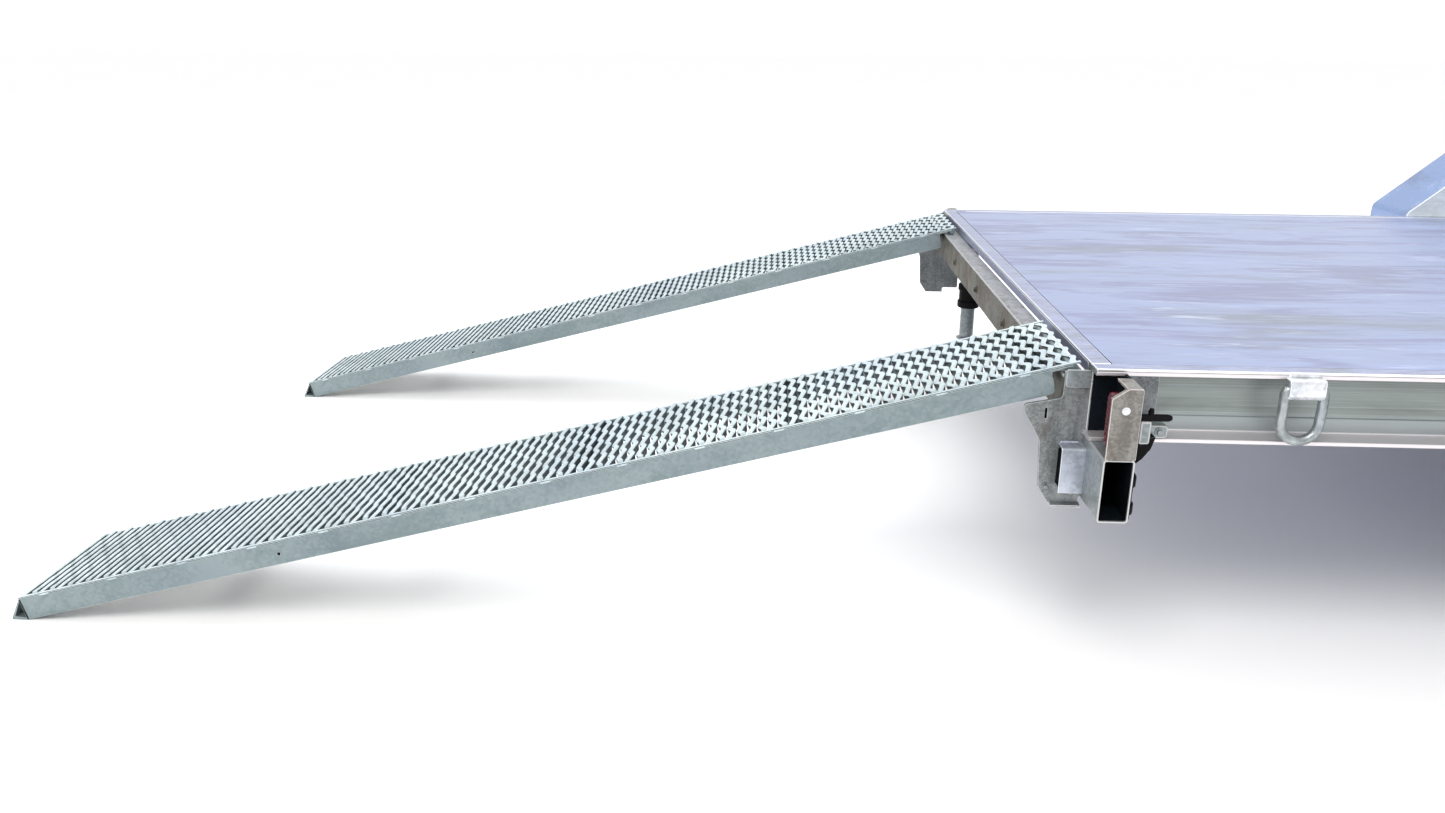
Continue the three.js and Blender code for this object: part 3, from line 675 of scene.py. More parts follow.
class Stock:
    """Closed shells gathered into the mesh of one piece."""

    def __init__(self) -> None:
        """Starts empty."""
        self.points: list[tuple[float, float, float]] = []
        self.faces: list[list[int]] = []
        self.worn: list[float] = []

    def add(self, points: Iterable[Point3], faces: Iterable[Sequence[int]],
            worn: float = 0.0) -> "Stock":
        """Adds a shell as it is.

        Args:
            points: Its points.
            faces: Its faces, by point number.
            worn: Their edge mark, 1 for the edge colour: rubbed edges, painted highlight and
                painted shade.

        Returns:
            This stock.
        """
        base = len(self.points)
        self.points += [tuple(p) for p in points]
        for face in faces:
            self.faces.append([base + i for i in face])
            self.worn.append(worn)
        return self

    def shell(self, part: bmesh.types.BMesh, soft: float) -> "Stock":
        """Adds a shell with its hard edges softened, and frees it.

        Args:
            part: The shell.
            soft: How far each hard edge is rounded.

        Returns:
            This stock.
        """
        bmesh.ops.recalc_face_normals(part, faces=part.faces)
        rub_and_light_layer = part.faces.layers.float.new(RUB_AND_LIGHT)
        if soft > 0:
            hard = [e for e in part.edges
                    if len(e.link_faces) == 2 and abs(e.calc_face_angle(0.0)) > HARD_EDGE]
            made = bmesh.ops.bevel(part, geom=hard, offset=soft, offset_type="OFFSET", segments=2,
                                   profile=0.5, affect="EDGES", clamp_overlap=True)
            # bevel faces take the edge colour: rubbed edges and painted highlight
            for face in made["faces"]:
                face[rub_and_light_layer] = 1.0
        part.verts.index_update()
        base = len(self.points)
        self.points += [tuple(v.co) for v in part.verts]
        for face in part.faces:
            self.faces.append([base + v.index for v in face.verts])
            self.worn.append(face[rub_and_light_layer])
        part.free()
        return self

    def prism(self, outline: Sequence[Point2], along: Along, low: float, high: float,
              soft: float = SOFT, inner: Sequence[Point2] | None = None) -> "Stock":
        """Adds a section pushed along an axis.

        Args:
            outline: The section's corners.
            along: The axis, with the section's axes.
            low: Where it starts.
            high: Where it ends.
            soft: How far its edges are rounded.
            inner: The outline of a hole through it, with as many corners.

        Returns:
            This stock.
        """
        part = bmesh.new()
        loops = [[[part.verts.new(along.point(a, b, c)) for a, b in ring] for c in (low, high)]
                 for ring in ([outline] if inner is None else [outline, inner])]
        for start, end in loops:
            for i in range(len(start)):
                part.faces.new((start[i - 1], start[i], end[i], end[i - 1]))
        for level in (0, 1):
            if inner is None:
                part.faces.new(loops[0][level])
                continue
            outside, inside = loops[0][level], loops[1][level]
            for i in range(len(outside)):
                part.faces.new((outside[i - 1], outside[i], inside[i], inside[i - 1]))
        return self.shell(part, soft)

    def block(self, low: Point3, high: Point3, soft: float = SOFT) -> "Stock":
        """Adds a plate or bar between two corners, with softened edges."""
        x, y, z = (sorted(pair) for pair in zip(low, high))
        return self.prism(rectangle(*x, *z), Along.Y, *y, soft)

    def cut(self, outline: Sequence[Point2], along: Along, low: float, high: float,
            holes: Iterable[tuple[Sequence[Point2], Along, float, float]],
            soft: float = SOFT) -> "Stock":
        """Adds a pushed section with prisms cut out of it.

        Args:
            outline: The section's corners.
            along: The axis it is pushed along.
            low: Where it starts.
            high: Where it ends.
            holes: The outline, axis, start and end of each prism to cut.
            soft: How far the edges are rounded after the cuts.

        Returns:
            This stock.
        """
        body = Stock().prism(outline, along, low, high, 0.0).raw("body")
        for hole in holes:
            tool = Stock().prism(*hole, 0.0).raw("tool")
            modifier = body.modifiers.new("cut", "BOOLEAN")
            modifier.object, modifier.solver, modifier.operation = tool, "EXACT", "DIFFERENCE"
            made = bpy.data.meshes.new_from_object(
                body.evaluated_get(bpy.context.evaluated_depsgraph_get()))
            body.modifiers.clear()
            body.data = made
            bpy.data.objects.remove(tool)
        part = bmesh.new()
        part.from_mesh(body.data)
        bpy.data.objects.remove(body)
        return self.shell(part, soft)

    def swept(self, path: Sequence[Point3], radius: float | Sequence[float], sides: int = 10,
              closed: bool = False) -> "Stock":
        """Adds a round bar along a path.

        Args:
            path: The points of its centre line.
            radius: One radius, or one at each point.
            sides: Flats to a turn.
            closed: Whether the path meets itself.

        Returns:
            This stock.
        """
        line = [Vector(p) for p in path]
        count = len(line)
        radii = [radius] * count if isinstance(radius, float) else list(radius)
        points = []
        across = None
        for i, place in enumerate(line):
            ahead = line[(i + 1) % count] if closed or i + 1 < count else place
            behind = line[i - 1] if closed or i else place
            run = (ahead - behind).normalized()
            across = (run.orthogonal() if across is None else across - run * across.dot(run))
            across.normalize()
            other = run.cross(across)
            for k in range(sides):
                turn = 2 * math.pi * k / sides
                spoke = across * math.cos(turn) + other * math.sin(turn)
                points.append(place + spoke * radii[i])
        return self.add(points, loft(count, sides, closed))

    def weld(self, start: Point3, end: Point3, radius: float = 0.0028,
             ripple: float = 0.0035) -> "Stock":
        """Adds a weld bead with its ripples between two points."""
        a, b = Vector(start), Vector(end)
        count = max(4, int((b - a).length / ripple))
        path = [a.lerp(b, i / count) for i in range(count + 1)]
        sizes = [radius * (0.86 + 0.22 * (i % 2)) for i in range(count + 1)]
        sizes[0] = sizes[-1] = radius * 0.4
        return self.swept(path, sizes, 6)

    def turned(self, profile: Sequence[Point2], steps: int, centre: Point3, sign: float = 1.0,
               shift: Callable[[float, float, int], float] | None = None) -> "Stock":
        """Adds a piece turned about an axis along y.

        Args:
            profile: Its closed outline as radius and y.
            steps: Facets to a turn.
            centre: A point on the axis.
            sign: Which way the profile's y points.
            shift: What is added to a radius, from radius, y and step number.

        Returns:
            This stock.
        """
        points, faces = [], []
        count = len(profile)
        for i in range(steps):
            turn = 2 * math.pi * i / steps
            for radius, y in profile:
                x, z = polar(radius + (shift(radius, y, i) if shift else 0.0), turn)
                points.append((centre[0] + x, centre[1] + sign * y, centre[2] + z))
        for i in range(steps):
            j = (i + 1) % steps
            for k in range(count):
                m = (k + 1) % count
                if profile[k][0] < 1e-6 and profile[m][0] < 1e-6:
                    continue
                faces.append((i * count + k, i * count + m, j * count + m, j * count + k))
        return self.add(points, faces)

    def bolt(self, place: Point3, facing: Point3, flats: float = 0.016, thick: float = 0.007,
             washer: float = 0.0) -> "Stock":
        """Adds a hexagon bolt head, on a washer where one is given.

        Args:
            place: The centre of its seat.
            facing: The direction the head stands out in.
            flats: Its size across the flats.
            thick: Its height.
            washer: The washer's radius.

        Returns:
            This stock.
        """
        way = Vector(facing).normalized()
        seat = Vector(place)
        if washer:
            self.swept([seat, seat + way * 0.0022], [washer, washer * 0.97], 20)
            seat = seat + way * 0.0022
        radius = flats / math.sqrt(3)
        self.swept([seat, seat + way * thick * 0.82, seat + way * thick],
                   [radius, radius, radius * 0.82], 6)
        return self

    def polish(self, test: Callable[[Point3], bool]) -> "Stock":
        """Marks the faces whose points all pass a test for the bright edge colour, a painted
        highlight.
        """
        for i, face in enumerate(self.faces):
            if all(test(self.points[k]) for k in face):
                self.worn[i] = 1.0
        return self

    def turned_upright(self, profile: Sequence[Point2], steps: int, centre: Point2) -> "Stock":
        """Adds a piece turned about an upright axis.

        Args:
            profile: Its closed outline as radius and height.
            steps: Facets to a turn.
            centre: The axis's place in plan.

        Returns:
            This stock.
        """
        laid = Stock().turned(profile, steps, (0, 0, 0))
        points = [(centre[0] + x, centre[1] + z, y) for x, y, z in laid.points]
        return self.add(points, laid.faces)

    def weld_ring(self, centre: Point3, radius: float, size: float) -> "Stock":
        """Adds a weld bead round an upright tube."""
        count = 36
        places = [polar(radius, 2 * math.pi * k / count) for k in range(count)]
        path = [(centre[0] + x, centre[1] + y, centre[2]) for x, y in places]
        sizes = [size * (0.86 + 0.22 * (k % 2)) for k in range(count)]
        return self.swept(path, sizes, 6, closed=True)

    def from_node(self, node: str, soft: float = SOFT) -> "Stock":
        """Adds a copy of a frame node with its hard edges softened.

        Args:
            node: The node's name.
            soft: How far its edges are rounded.

        Returns:
            This stock.
        """
        part = bmesh.new()
        part.from_mesh(frame["nodes"][node].data)
        bmesh.ops.remove_doubles(part, verts=part.verts, dist=2e-5)
        bmesh.ops.dissolve_limit(part, angle_limit=math.radians(1.0), verts=part.verts,
                                 edges=part.edges)
        return self.shell(part, soft)

    def raw(self, name: str) -> bpy.types.Object:
        """The gathered shells as a linked object.

        Args:
            name: Its name.

        Returns:
            The object.
        """
        mesh = bpy.data.meshes.new(name)
        mesh.from_pydata(self.points, [], self.faces)
        mesh.validate()
        made = bpy.data.objects.new(name, mesh)
        bpy.context.scene.collection.objects.link(made)
        return made

    def piece(self, name: str, finish: bpy.types.Material, slot: Slot, body: str,
              replaces: Sequence[str] = (), place: Matrix | None = None) -> bpy.types.Object:
        """Makes the piece and sets it on its body.

        Args:
            name: The piece's name.
            finish: Its material.
            slot: The record's slot for its finish; not used.
            body: The body it rides on.
            replaces: The frame nodes it stands for.
            place: Where its own axes lie in the frame.

        Returns:
            The object.
        """
        made = self.raw(name)
        mesh = made.data
        # the edge mark: rubbed edges, painted highlight and, on the ramp mesh, painted shade
        rub_and_light_layer = mesh.attributes.new(RUB_AND_LIGHT, "FLOAT", "FACE")
        if len(mesh.polygons) == len(self.worn):
            rub_and_light_layer.data.foreach_set("value", self.worn)
        work = bmesh.new()
        work.from_mesh(mesh)
        bmesh.ops.recalc_face_normals(work, faces=work.faces)
        work.to_mesh(mesh)
        work.free()
        mesh.shade_smooth()
        mesh.set_sharp_from_angle(angle=SMOOTH_ANGLE)
        mesh.materials.append(finish)
        weighted = made.modifiers.new("even_shading", "WEIGHTED_NORMAL")
        weighted.keep_sharp = True
        if place is not None:
            made.matrix_world = place
        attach(made, body)
        if replaces:
            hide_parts(*replaces)
        log.info("%s: %d faces on %s", name, len(mesh.polygons), body)
        return made


def swept_noise(x: float, y: float) -> float:
    """A slow, repeatable wave over a sheet, from -1 to 1."""
    return (math.sin(2.3 * x + 1.1 * y) + math.sin(5.1 * y - 1.7 * x + 0.6)
            + math.sin(3.7 * x * 0.9 + 2.9 * y + 2.0)) / 3


def reach(low: Vector, high: Vector) -> list[float]:
    """How far out from the centre line a box on one side starts and ends."""
    return sorted((abs(low.y), abs(high.y)))


def outer_face(distance: float) -> Callable[[Point3], bool]:
    """A test for points at least this far out from the centre line."""
    return lambda p: abs(p[1]) > distance - 1e-4


# ---- deck and chassis


@dataclass
class Deck:
    """The loading floor: a border strip all round, a seam and a slightly wavy sheet inside it."""

    border: float = 0.036
    seam: float = 0.0024
    sink: float = 0.0008
    wave: float = 0.0006
    across: int = 26
    along: int = 70
    soft: float = 0.0015
    gap: float = 0.0006         # between the end strips and the side strips
    tuck: float = 0.058         # how far the rear fold stays clear of the rails' ends
    fold: float = 0.003         # the rear fold's thickness

    def build(self, finish: Finishes) -> None:
        """Builds the border and the sheet.

        Args:
            finish: The finishes.
        """
        low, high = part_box("deck")
        strips = Stock()
        inset, bead = self.border, high.z - 0.0012
        for side in Side:
            edge = side.out(high.y)
            strips.block((low.x, edge, low.z), (high.x, edge - side.out(inset), high.z), self.soft)
        for x0, x1 in ((low.x, low.x + inset), (high.x - inset, high.x)):
            strips.block((x0, low.y + inset + self.gap, low.z),
                         (x1, high.y - inset - self.gap, high.z), self.soft)
        for side in Side:
            y = side.out(high.y - inset)
            for x in (low.x + inset, high.x - inset):
                strips.weld((x, y, bead), (x - math.copysign(inset, x), y, bead), 0.0014)
        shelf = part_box("rear_crossmember")[1].z + 0.0008
        strips.block((low.x, low.y + self.tuck, shelf),
                     (low.x + self.fold, high.y - self.tuck, low.z), 0.0008)
        # painted highlight: the outer faces take the bright edge colour
        strips.polish(outer_face(high.y))
        strips.piece("deck_border", finish.border, Slot.DECK, "root")
        self.sheet(low, high).piece("deck_sheet", finish.deck, Slot.DECK, "root", ["deck"])

    def sheet(self, low: Vector, high: Vector) -> Stock:
        """The inner sheet, a closed slab with a wavy top.

        Args:
            low: The deck's lowest corner.
            high: Its highest corner.

        Returns:
            The sheet.
        """
        inset = self.border + self.seam
        x0, x1 = low.x + inset, high.x - inset
        y0, y1 = low.y + inset, high.y - inset
        top = high.z - self.sink
        points, faces = [], []
        row = self.across + 1
        for level in (0, 1):
            for i in range(self.along + 1):
                for j in range(row):
                    u, v = i / self.along, j / self.across
                    x, y = x0 + (x1 - x0) * u, y0 + (y1 - y0) * v
                    fade = min(1.0, 12 * min(u, 1 - u, v * 0.4, (1 - v) * 0.4))
                    z = top + self.wave * fade * swept_noise(x, y) if level else low.z
                    points.append((x, y, z))
        base = row * (self.along + 1)
        for i in range(self.along):
            for j in range(self.across):
                a, b = i * row + j, (i + 1) * row + j
                faces.append((a, a + 1, b + 1, b))
                faces.append((base + a, base + b, base + b + 1, base + a + 1))
        rim = list(range(row)) + [(i + 1) * row - 1 for i in range(1, self.along + 1)]
        rim += [base - 2 - j for j in range(row - 1)]
        rim += [i * row for i in range(self.along - 1, 0, -1)]
        for i, a in enumerate(rim):
            b = rim[(i + 1) % len(rim)]
            faces.append((a, b, base + b, base + a))
        return Stock().add(points, faces)


@dataclass
class SideRail:
    """One outward-facing side channel, with the low band and fine ribs of its extrusion."""

    side: Side
    web: float = 0.006
    lip: float = 0.008
    band: float = 0.030
    proud: float = 0.0022
    rib: float = 0.0005

    def section(self, inner: float, outer: float, low: float, high: float) -> list[Point2]:
        """The channel's section in y and z.

        Args:
            inner: How far out the web's back is.
            outer: How far out the lips reach.
            low: The underside.
            high: The top.

        Returns:
            The outline.
        """
        face = inner + self.web
        foot, head = low + self.lip, high - self.lip
        points = [
            (inner, low), (outer, low), (outer, foot), (face + self.proud, foot),
            (face + self.proud, foot + self.band), (face, foot + self.band + 0.002),
        ]
        for z in (foot + self.band + 0.018, head - 0.034):
            points += [(face, z), (face + self.rib, z + 0.001), (face + self.rib, z + 0.004),
                       (face, z + 0.005)]
        points += [(face, head - 0.016), (face + self.rib, head - 0.014), (face + self.rib, head),
                   (outer, head), (outer, high), (inner, high)]
        rounds = {1: 0.002, 2: 0.002, 3: 0.005, 4: 0.001, len(points) - 4: 0.004,
                  len(points) - 3: 0.002, len(points) - 2: 0.002}
        return self.side.section(filleted(points, rounds, 3))

    def build(self, finish: Finishes) -> None:
        """Builds the rail.

        Args:
            finish: The finishes.
        """
        node = f"side_rail_{self.side.word}"
        low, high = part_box(node)
        near, far = reach(low, high)
        rail = Stock().prism(self.section(near, far, low.z, high.z), Along.X, low.x, high.x, 0.0)
        # painted highlight: the outer faces take the bright edge colour
        rail.polish(outer_face(far - 0.0012))
        rail.piece(f"rail_{self.side.word}", finish.rail, Slot.RAIL, "root", [node])


@dataclass
class Underframe:
    """The members between the side rails and the dark rear member with its ledge; the rear member's
    darkness is partly stain and partly painted shade.
    """

    members: int = 7
    flange: float = 0.006
    bolt_row: float = 0.035
    bolts: int = 5

    def build(self, finish: Finishes) -> None:
        """Builds the members.

        Args:
            finish: The finishes.
        """
        for i in range(1, self.members + 1):
            node = f"crossmember_{i}"
            low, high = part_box(node)
            member = Stock().from_node(node)
            for side in Side:
                x, y = low.x + 0.006, side.out(high.y - 0.001)
                member.weld((x, y, low.z + 0.006), (x, y, high.z - 0.006))
            member.piece(f"cross_member_{i}", finish.rail, Slot.RAIL, "root", [node])
        front = Stock().from_node("front_rail")
        low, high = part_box("front_rail")
        for side in Side:
            x, y = high.x + 0.0005, side.out(high.y - 0.002)
            front.weld((x, y, low.z + 0.004), (x, y, high.z - 0.004))
        front.piece("front_member", finish.rail, Slot.RAIL, "root", ["front_rail"])
        self.rear(finish)

    def rear(self, finish: Finishes) -> None:
        """Builds the rear member: a dark channel, partly stained and partly painted shade, below a
        paler ledge.

        Args:
            finish: The finishes.
        """
        low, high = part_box("rear_crossmember")
        wall = self.flange
        shelf = high.z - wall
        channel = Stock()
        section = filleted([(low.x, shelf), (low.x, low.z), (high.x, low.z),
                            (high.x, low.z + wall), (low.x + wall, low.z + wall),
                            (low.x + wall, shelf)], {1: 0.004, 2: 0.0015, 3: 0.0015, 4: 0.003})
        channel.prism(section, Along.Y, low.y, high.y, 0.0)
        for k in range(self.bolts):
            y = low.y + (k + 0.5) * (high.y - low.y) / self.bolts
            channel.bolt((low.x, y, low.z + self.bolt_row), (-1, 0, 0), 0.013, 0.006, 0.011)
        # its very dark finish is partly stain and partly painted shade
        channel.piece("rear_member", finish.stained, Slot.WEATHERED, "root", ["rear_crossmember"])
        ledge = Stock().block((low.x, low.y, shelf + 0.0001), (high.x, high.y, high.z), 0.0016)
        ledge.piece("ramp_ledge", finish.ledge, Slot.WEATHERED, "root")


# ---- rear corners


@dataclass
class RearCorner:
    """A rear corner: gusset plate, stop plate, cross tube, lamp guard, pocket and tail lamp."""

    side: Side
    tube_top: float = 0.4804
    plate_outline: tuple[Point2, ...] = (
        (-0.045, 0.604), (0.130, 0.604), (0.130, 0.489), (-0.0003, 0.489), (-0.0003, tube_top),
        (0.057, tube_top), (0.057, 0.353), (0.004, 0.353), (0.004, 0.338), (-0.054, 0.338),
        (-0.075, 0.369), (-0.081, 0.466), (-0.115, 0.523), (-0.115, 0.537), (-0.045, 0.551),
    )
    slot: Window = (-0.0765, -0.0715, 0.509, 0.531)
    stop: Window = (-0.043, 0.003, 0.573, 0.608)
    stop_thick: float = 0.004
    lip: float = 0.014          # the folded foot of the gusset
    foot_bolt: Point2 = (-0.061, 0.371)
    seam: float = 0.4822        # the height of the weld along the tube's top
    bright_edge: Window = (0.0036, 0.0066, 0.485, 0.6072)
    guard_bolt: tuple[float, float, float] = (0.029, 1.1, 0.574)
    tube_wall: float = 0.0032
    plug: Point2 = (0.9506, 0.9565)     # how far out the near-black block behind the slot lies: painted shade seen through the slot
    guard_wall: float = 0.006
    guard_rise: float = 0.007   # how far the guard stands over its box
    roof: float = 0.070         # how far in the guard is bent over the lamp
    chamfer: float = 0.028
    shade: Point2 = (0.9595, 0.9612)    # how far out the near-black sheet beside the gusset lies: painted shade in the lamp's recess
    shade_top: float = 0.6075
    pocket_round: float = 0.011
    pocket_top: float = 0.4615
    pocket_depth: float = 0.032
    pocket_wall: float = 0.0035
    ribs: int = 9               # of the lens

    def build(self, finish: Finishes) -> None:
        """Builds the corner.

        Args:
            finish: The finishes.
        """
        self.gusset(finish)
        self.housing(finish)
        self.lamp(finish)

    def gusset(self, finish: Finishes) -> None:
        """The upright plate, its folded foot, bolts, welds and the stop plate on its face.

        Args:
            finish: The finishes.
        """
        out = self.side.out
        node = f"rear_gusset_{self.side.word}"
        low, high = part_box(node)
        inner, face = reach(low, high)
        outline = filleted([(REAR + x, z) for x, z in self.plate_outline],
                           {0: 0.004, 6: 0.005, 7: 0.006, 9: 0.006, 10: 0.01, 11: 0.03,
                            12: 0.02, 13: 0.006, 14: 0.010}, 3)
        x0, x1, z0, z1 = self.slot
        hole = filleted(rectangle(REAR + x0, REAR + x1, z0, z1), 0.0024, 3)
        plate = Stock().cut(outline, Along.Y, out(inner), out(face),
                            [(hole, Along.Y, out(inner - 0.01), out(face + 0.01))], 0.001)
        plate.shell(fold(REAR - 0.052, REAR + 0.006, low.z, out(face - 0.004),
                         out(face + self.lip), 0.004), 0.001)
        x, z = self.foot_bolt
        plate.bolt((REAR + x, out(face), z), (0, out(1), 0), 0.009, 0.005, 0.008)
        plate.bolt((REAR + x, out(inner), z), (0, -out(1), 0), 0.009, 0.004)
        plate.weld((REAR - 0.003, out(face), self.seam), (REAR + 0.055, out(face), self.seam),
                   0.003)
        plate.piece(f"gusset_{self.side.word}", finish.gusset, Slot.ZINC, "root", [node])

        x0, x1, z0, z1 = self.stop
        stop = Stock().prism(filleted(rectangle(REAR + x0, REAR + x1, z0, z1), {0: 0.006}, 3),
                             Along.Y, out(face), out(face + self.stop_thick), 0.001)
        near = out(face + 0.001)
        stop.weld((REAR + x0, near, z0 + 0.004), (REAR + x0, near, z1 - 0.004), 0.002)
        stop.piece(f"stop_plate_{self.side.word}", finish.zinc, Slot.ZINC, "root")
        x0, x1, z0, z1 = self.bright_edge
        bright = Stock().block((REAR + x0, out(face + 0.0002), z0),
                               (REAR + x1, out(face + 0.0035), z1), 0.0006)
        x, y, z = self.guard_bolt
        bright.bolt((REAR + x, out(y), z), (0, out(1), 0), 0.009, 0.005, 0.0075)
        bright.piece(f"bright_edge_{self.side.word}", finish.bright, Slot.BRIGHT, "root")

    def housing(self, finish: Finishes) -> None:
        """The open cross tube, the guard plate bent over the lamp and the folded pocket.

        Args:
            finish: The finishes.
        """
        out = self.side.out
        node = f"lamp_housing_{self.side.word}"
        low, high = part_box(node)
        inner, outer = reach(low, high)
        rear, front, top, wall = REAR + 0.0005, high.x, self.tube_top, self.tube_wall

        def loop(inset: float, radius: float) -> list[Point2]:
            """The tube's rounded outline, moved inwards."""
            return filleted(rectangle(rear + inset, front - inset, low.z + inset, top - inset),
                            radius, 3)

        tube = Stock().prism(loop(0.0, 0.006), Along.Y, out(inner), out(outer), 0.0012,
                             loop(wall, 0.003))
        # painted highlight: the tube's open end takes the bright edge colour
        tube.polish(outer_face(outer))
        near = out(inner + 0.001)
        tube.weld((rear - 0.0005, near, low.z + 0.006), (rear - 0.0005, near, low.z + 0.02), 0.003)
        tube.piece(f"cross_tube_{self.side.word}", finish.zinc, Slot.ZINC, "root", [node])

        # painted shade: a near-black sleeve inside the tube and a block behind the slot
        tube_shade = Stock().prism(loop(wall + 0.0004, 0.0026), Along.Y, near, out(outer - 0.004), 0.0,
                               loop(wall + 0.0010, 0.002))
        tube_shade.block((rear + wall, out(inner + 0.0005), low.z + wall),
                     (front - wall, out(inner + 0.004), top - wall), 0.0)
        x0, x1, z0, z1 = self.slot
        tube_shade.block((REAR + x0 + 0.0003, out(self.plug[0]), z0 + 0.0003),
                     (REAR + x1 - 0.0003, out(self.plug[1]), z1 - 0.0003), 0.0)
        tube_shade.piece(f"tube_inside_{self.side.word}", finish.inside, Slot.BLACK, "root")
        self.guard(finish, rear + 0.0025, front, top, outer, high.z + self.guard_rise)
        self.pocket(finish, low, inner, rear)

    def guard(self, finish: Finishes, rear: float, front: float, low: float, outer: float,
              high: float) -> None:
        """The guard: one plate with a chamfered corner, bent over the lamp, and near-black sheets
        behind the lamp and beside the gusset as painted shade.

        Args:
            finish: The finishes.
            rear: The guard's rear edge.
            front: The tube's front face.
            low: The tube's top.
            outer: How far out the guard stands.
            high: The guard's top.
        """
        out = self.side.out
        wall = self.guard_wall
        slant = high - self.chamfer * 0.7
        cheek = filleted([(rear, low), (front, low), (front, high), (rear + self.chamfer, high),
                          (rear, slant)], {2: 0.004, 3: 0.006, 4: 0.006}, 3)
        guard = Stock().prism(cheek, Along.Y, out(outer - wall), out(outer), 0.0018)
        roof = filleted([(outer - wall, high - wall), (outer - 0.0005, high - wall),
                         (outer - 0.0005, high - 0.0005), (outer - self.roof, high - 0.0005),
                         (outer - self.roof, high - wall + 0.001)], {2: 0.003}, 3)
        guard.prism(self.side.section(roof), Along.X, rear + self.chamfer - 0.001, front - 0.001,
                    0.0012)
        lean = [(rear + 0.0005, slant), (rear + self.chamfer, high - 0.0005),
                (rear + self.chamfer, high - wall), (rear + 0.004, slant - 0.002)]
        guard.prism(lean, Along.Y, out(outer - 0.012), out(outer - 0.001), 0.001)
        bead = out(outer - 0.0015)
        guard.weld((rear + 0.003, bead, low + 0.0005), (front - 0.003, bead, low + 0.0005), 0.0026)
        guard.piece(f"lamp_guard_{self.side.word}", finish.guard, Slot.ZINC, "root")
        # painted shade: near-black sheets behind the lamp and beside the gusset, where the lamp's
        # recess is in shade
        back = Stock().block((front - wall, out(1.0009), low),
                             (front, out(outer - wall), high - 0.001), 0.001)
        near, far = self.shade
        foot, ahead = low + 0.008, front - 0.002
        back.block((rear + 0.0045, out(near), foot), (ahead, out(far), self.shade_top), 0.0)
        back.block((front - 0.004, out(far), foot), (ahead, out(0.999), self.shade_top), 0.0)
        back.piece(f"lamp_backplate_{self.side.word}", finish.inside, Slot.BLACK, "root")

    def pocket(self, finish: Finishes, low: Vector, inner: float, rear: float) -> None:
        """The folded pocket: a bright face bent in at its top, with painted shade in the gap behind
        its open edge.

        Args:
            finish: The finishes.
            low: The housing's lowest corner.
            inner: The gusset's face.
            rear: The tube's rear face.
        """
        out = self.side.out
        deep, wall = inner + self.pocket_depth, self.pocket_wall
        foot, head = low.z + 0.012, self.pocket_top
        sheet = filleted([(inner, head), (deep, head), (deep, foot), (deep - wall, foot),
                          (deep - wall, head - wall), (inner, head - wall)],
                         {1: self.pocket_round, 4: self.pocket_round - wall}, 6)
        floor = filleted(rectangle(inner, deep - wall - 0.0005, foot + 0.006, foot + 0.0095),
                         0.001, 2)
        shell = Stock().prism(self.side.section(sheet), Along.X, REAR - 0.0445, rear + 0.001,
                              0.0008)
        shell.prism(self.side.section(floor), Along.X, REAR - 0.043, rear, 0.0)
        bead = out(inner + 0.001)
        shell.weld((REAR - 0.042, bead, head + 0.001), (rear - 0.004, bead, head + 0.001), 0.0035)
        shell.piece(f"stand_pocket_{self.side.word}", finish.stop, Slot.ZINC, "root")
        # painted shade: a near-black block in the gap behind the pocket's open edge
        dark = Stock().block((REAR - 0.0435, out(inner + 0.0005), foot + 0.0105),
                             (REAR - 0.004, out(deep - wall - 0.0005), head - wall - 0.0075), 0.0)
        dark.piece(f"pocket_inside_{self.side.word}", finish.inside, Slot.BLACK, "root")

    def lamp(self, finish: Finishes) -> None:
        """The tail lamp: a ribbed lens on a black base with two screws.

        Args:
            finish: The finishes.
        """
        node = f"tail_lamp_{self.side.word}"
        low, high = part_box(node)
        base = Stock().block((high.x - 0.007, low.y, low.z), (high.x, high.y, high.z), 0.002)
        base.piece(f"lamp_base_{self.side.word}", finish.black, Slot.BLACK, "root")
        lens = Stock()
        inset, tail = 0.002, low.x + 0.007
        depth = [(high.x - 0.0072, 0.0), (tail + 0.006, 0.0), (tail + 0.002, 0.002), (tail, 0.006)]
        rings = [filleted(rectangle(low.y + inset + d, high.y - inset - d, low.z + inset + d,
                                    high.z - inset - d), 0.008, 4) for _, d in depth]
        points = [(x, y, z) for (x, _), ring in zip(depth, rings) for y, z in ring]
        lens.add(points, loft(len(rings), len(rings[0])))
        for k in range(self.ribs):
            z = low.z + 0.012 + k * (high.z - low.z - 0.024) / (self.ribs - 1)
            lens.swept([(tail + 0.0002, low.y + 0.009, z), (tail + 0.0002, high.y - 0.009, z)],
                       0.0011, 6)
        for z in (low.z + 0.006, high.z - 0.006):
            lens.bolt((tail + 0.0006, (low.y + high.y) / 2, z), (-1, 0, 0), 0.004, 0.0015)
        lens.piece(f"lamp_lens_{self.side.word}", finish.lens, Slot.LENS, "root", [node])


def fold(x0: float, x1: float, low: float, inner: float, outer: float,
         wall: float) -> bmesh.types.BMesh:
    """A small plate folded outward, lying level.

    Args:
        x0: Its rear end.
        x1: Its front end.
        low: Its underside.
        inner: The y of its fold.
        outer: The y of its free edge.
        wall: Its thickness.

    Returns:
        The plate.
    """
    part = bmesh.new()
    section = ((inner, low - wall * 0.5), (outer, low - wall * 1.2), (outer, low - wall * 0.2),
               (inner, low + wall * 0.5))
    ends = [[part.verts.new((x, y, z)) for y, z in section] for x in (x0, x1)]
    for i in range(4):
        part.faces.new((ends[0][i - 1], ends[0][i], ends[1][i], ends[1][i - 1]))
    part.faces.new(ends[0])
    part.faces.new(ends[1])
    return part


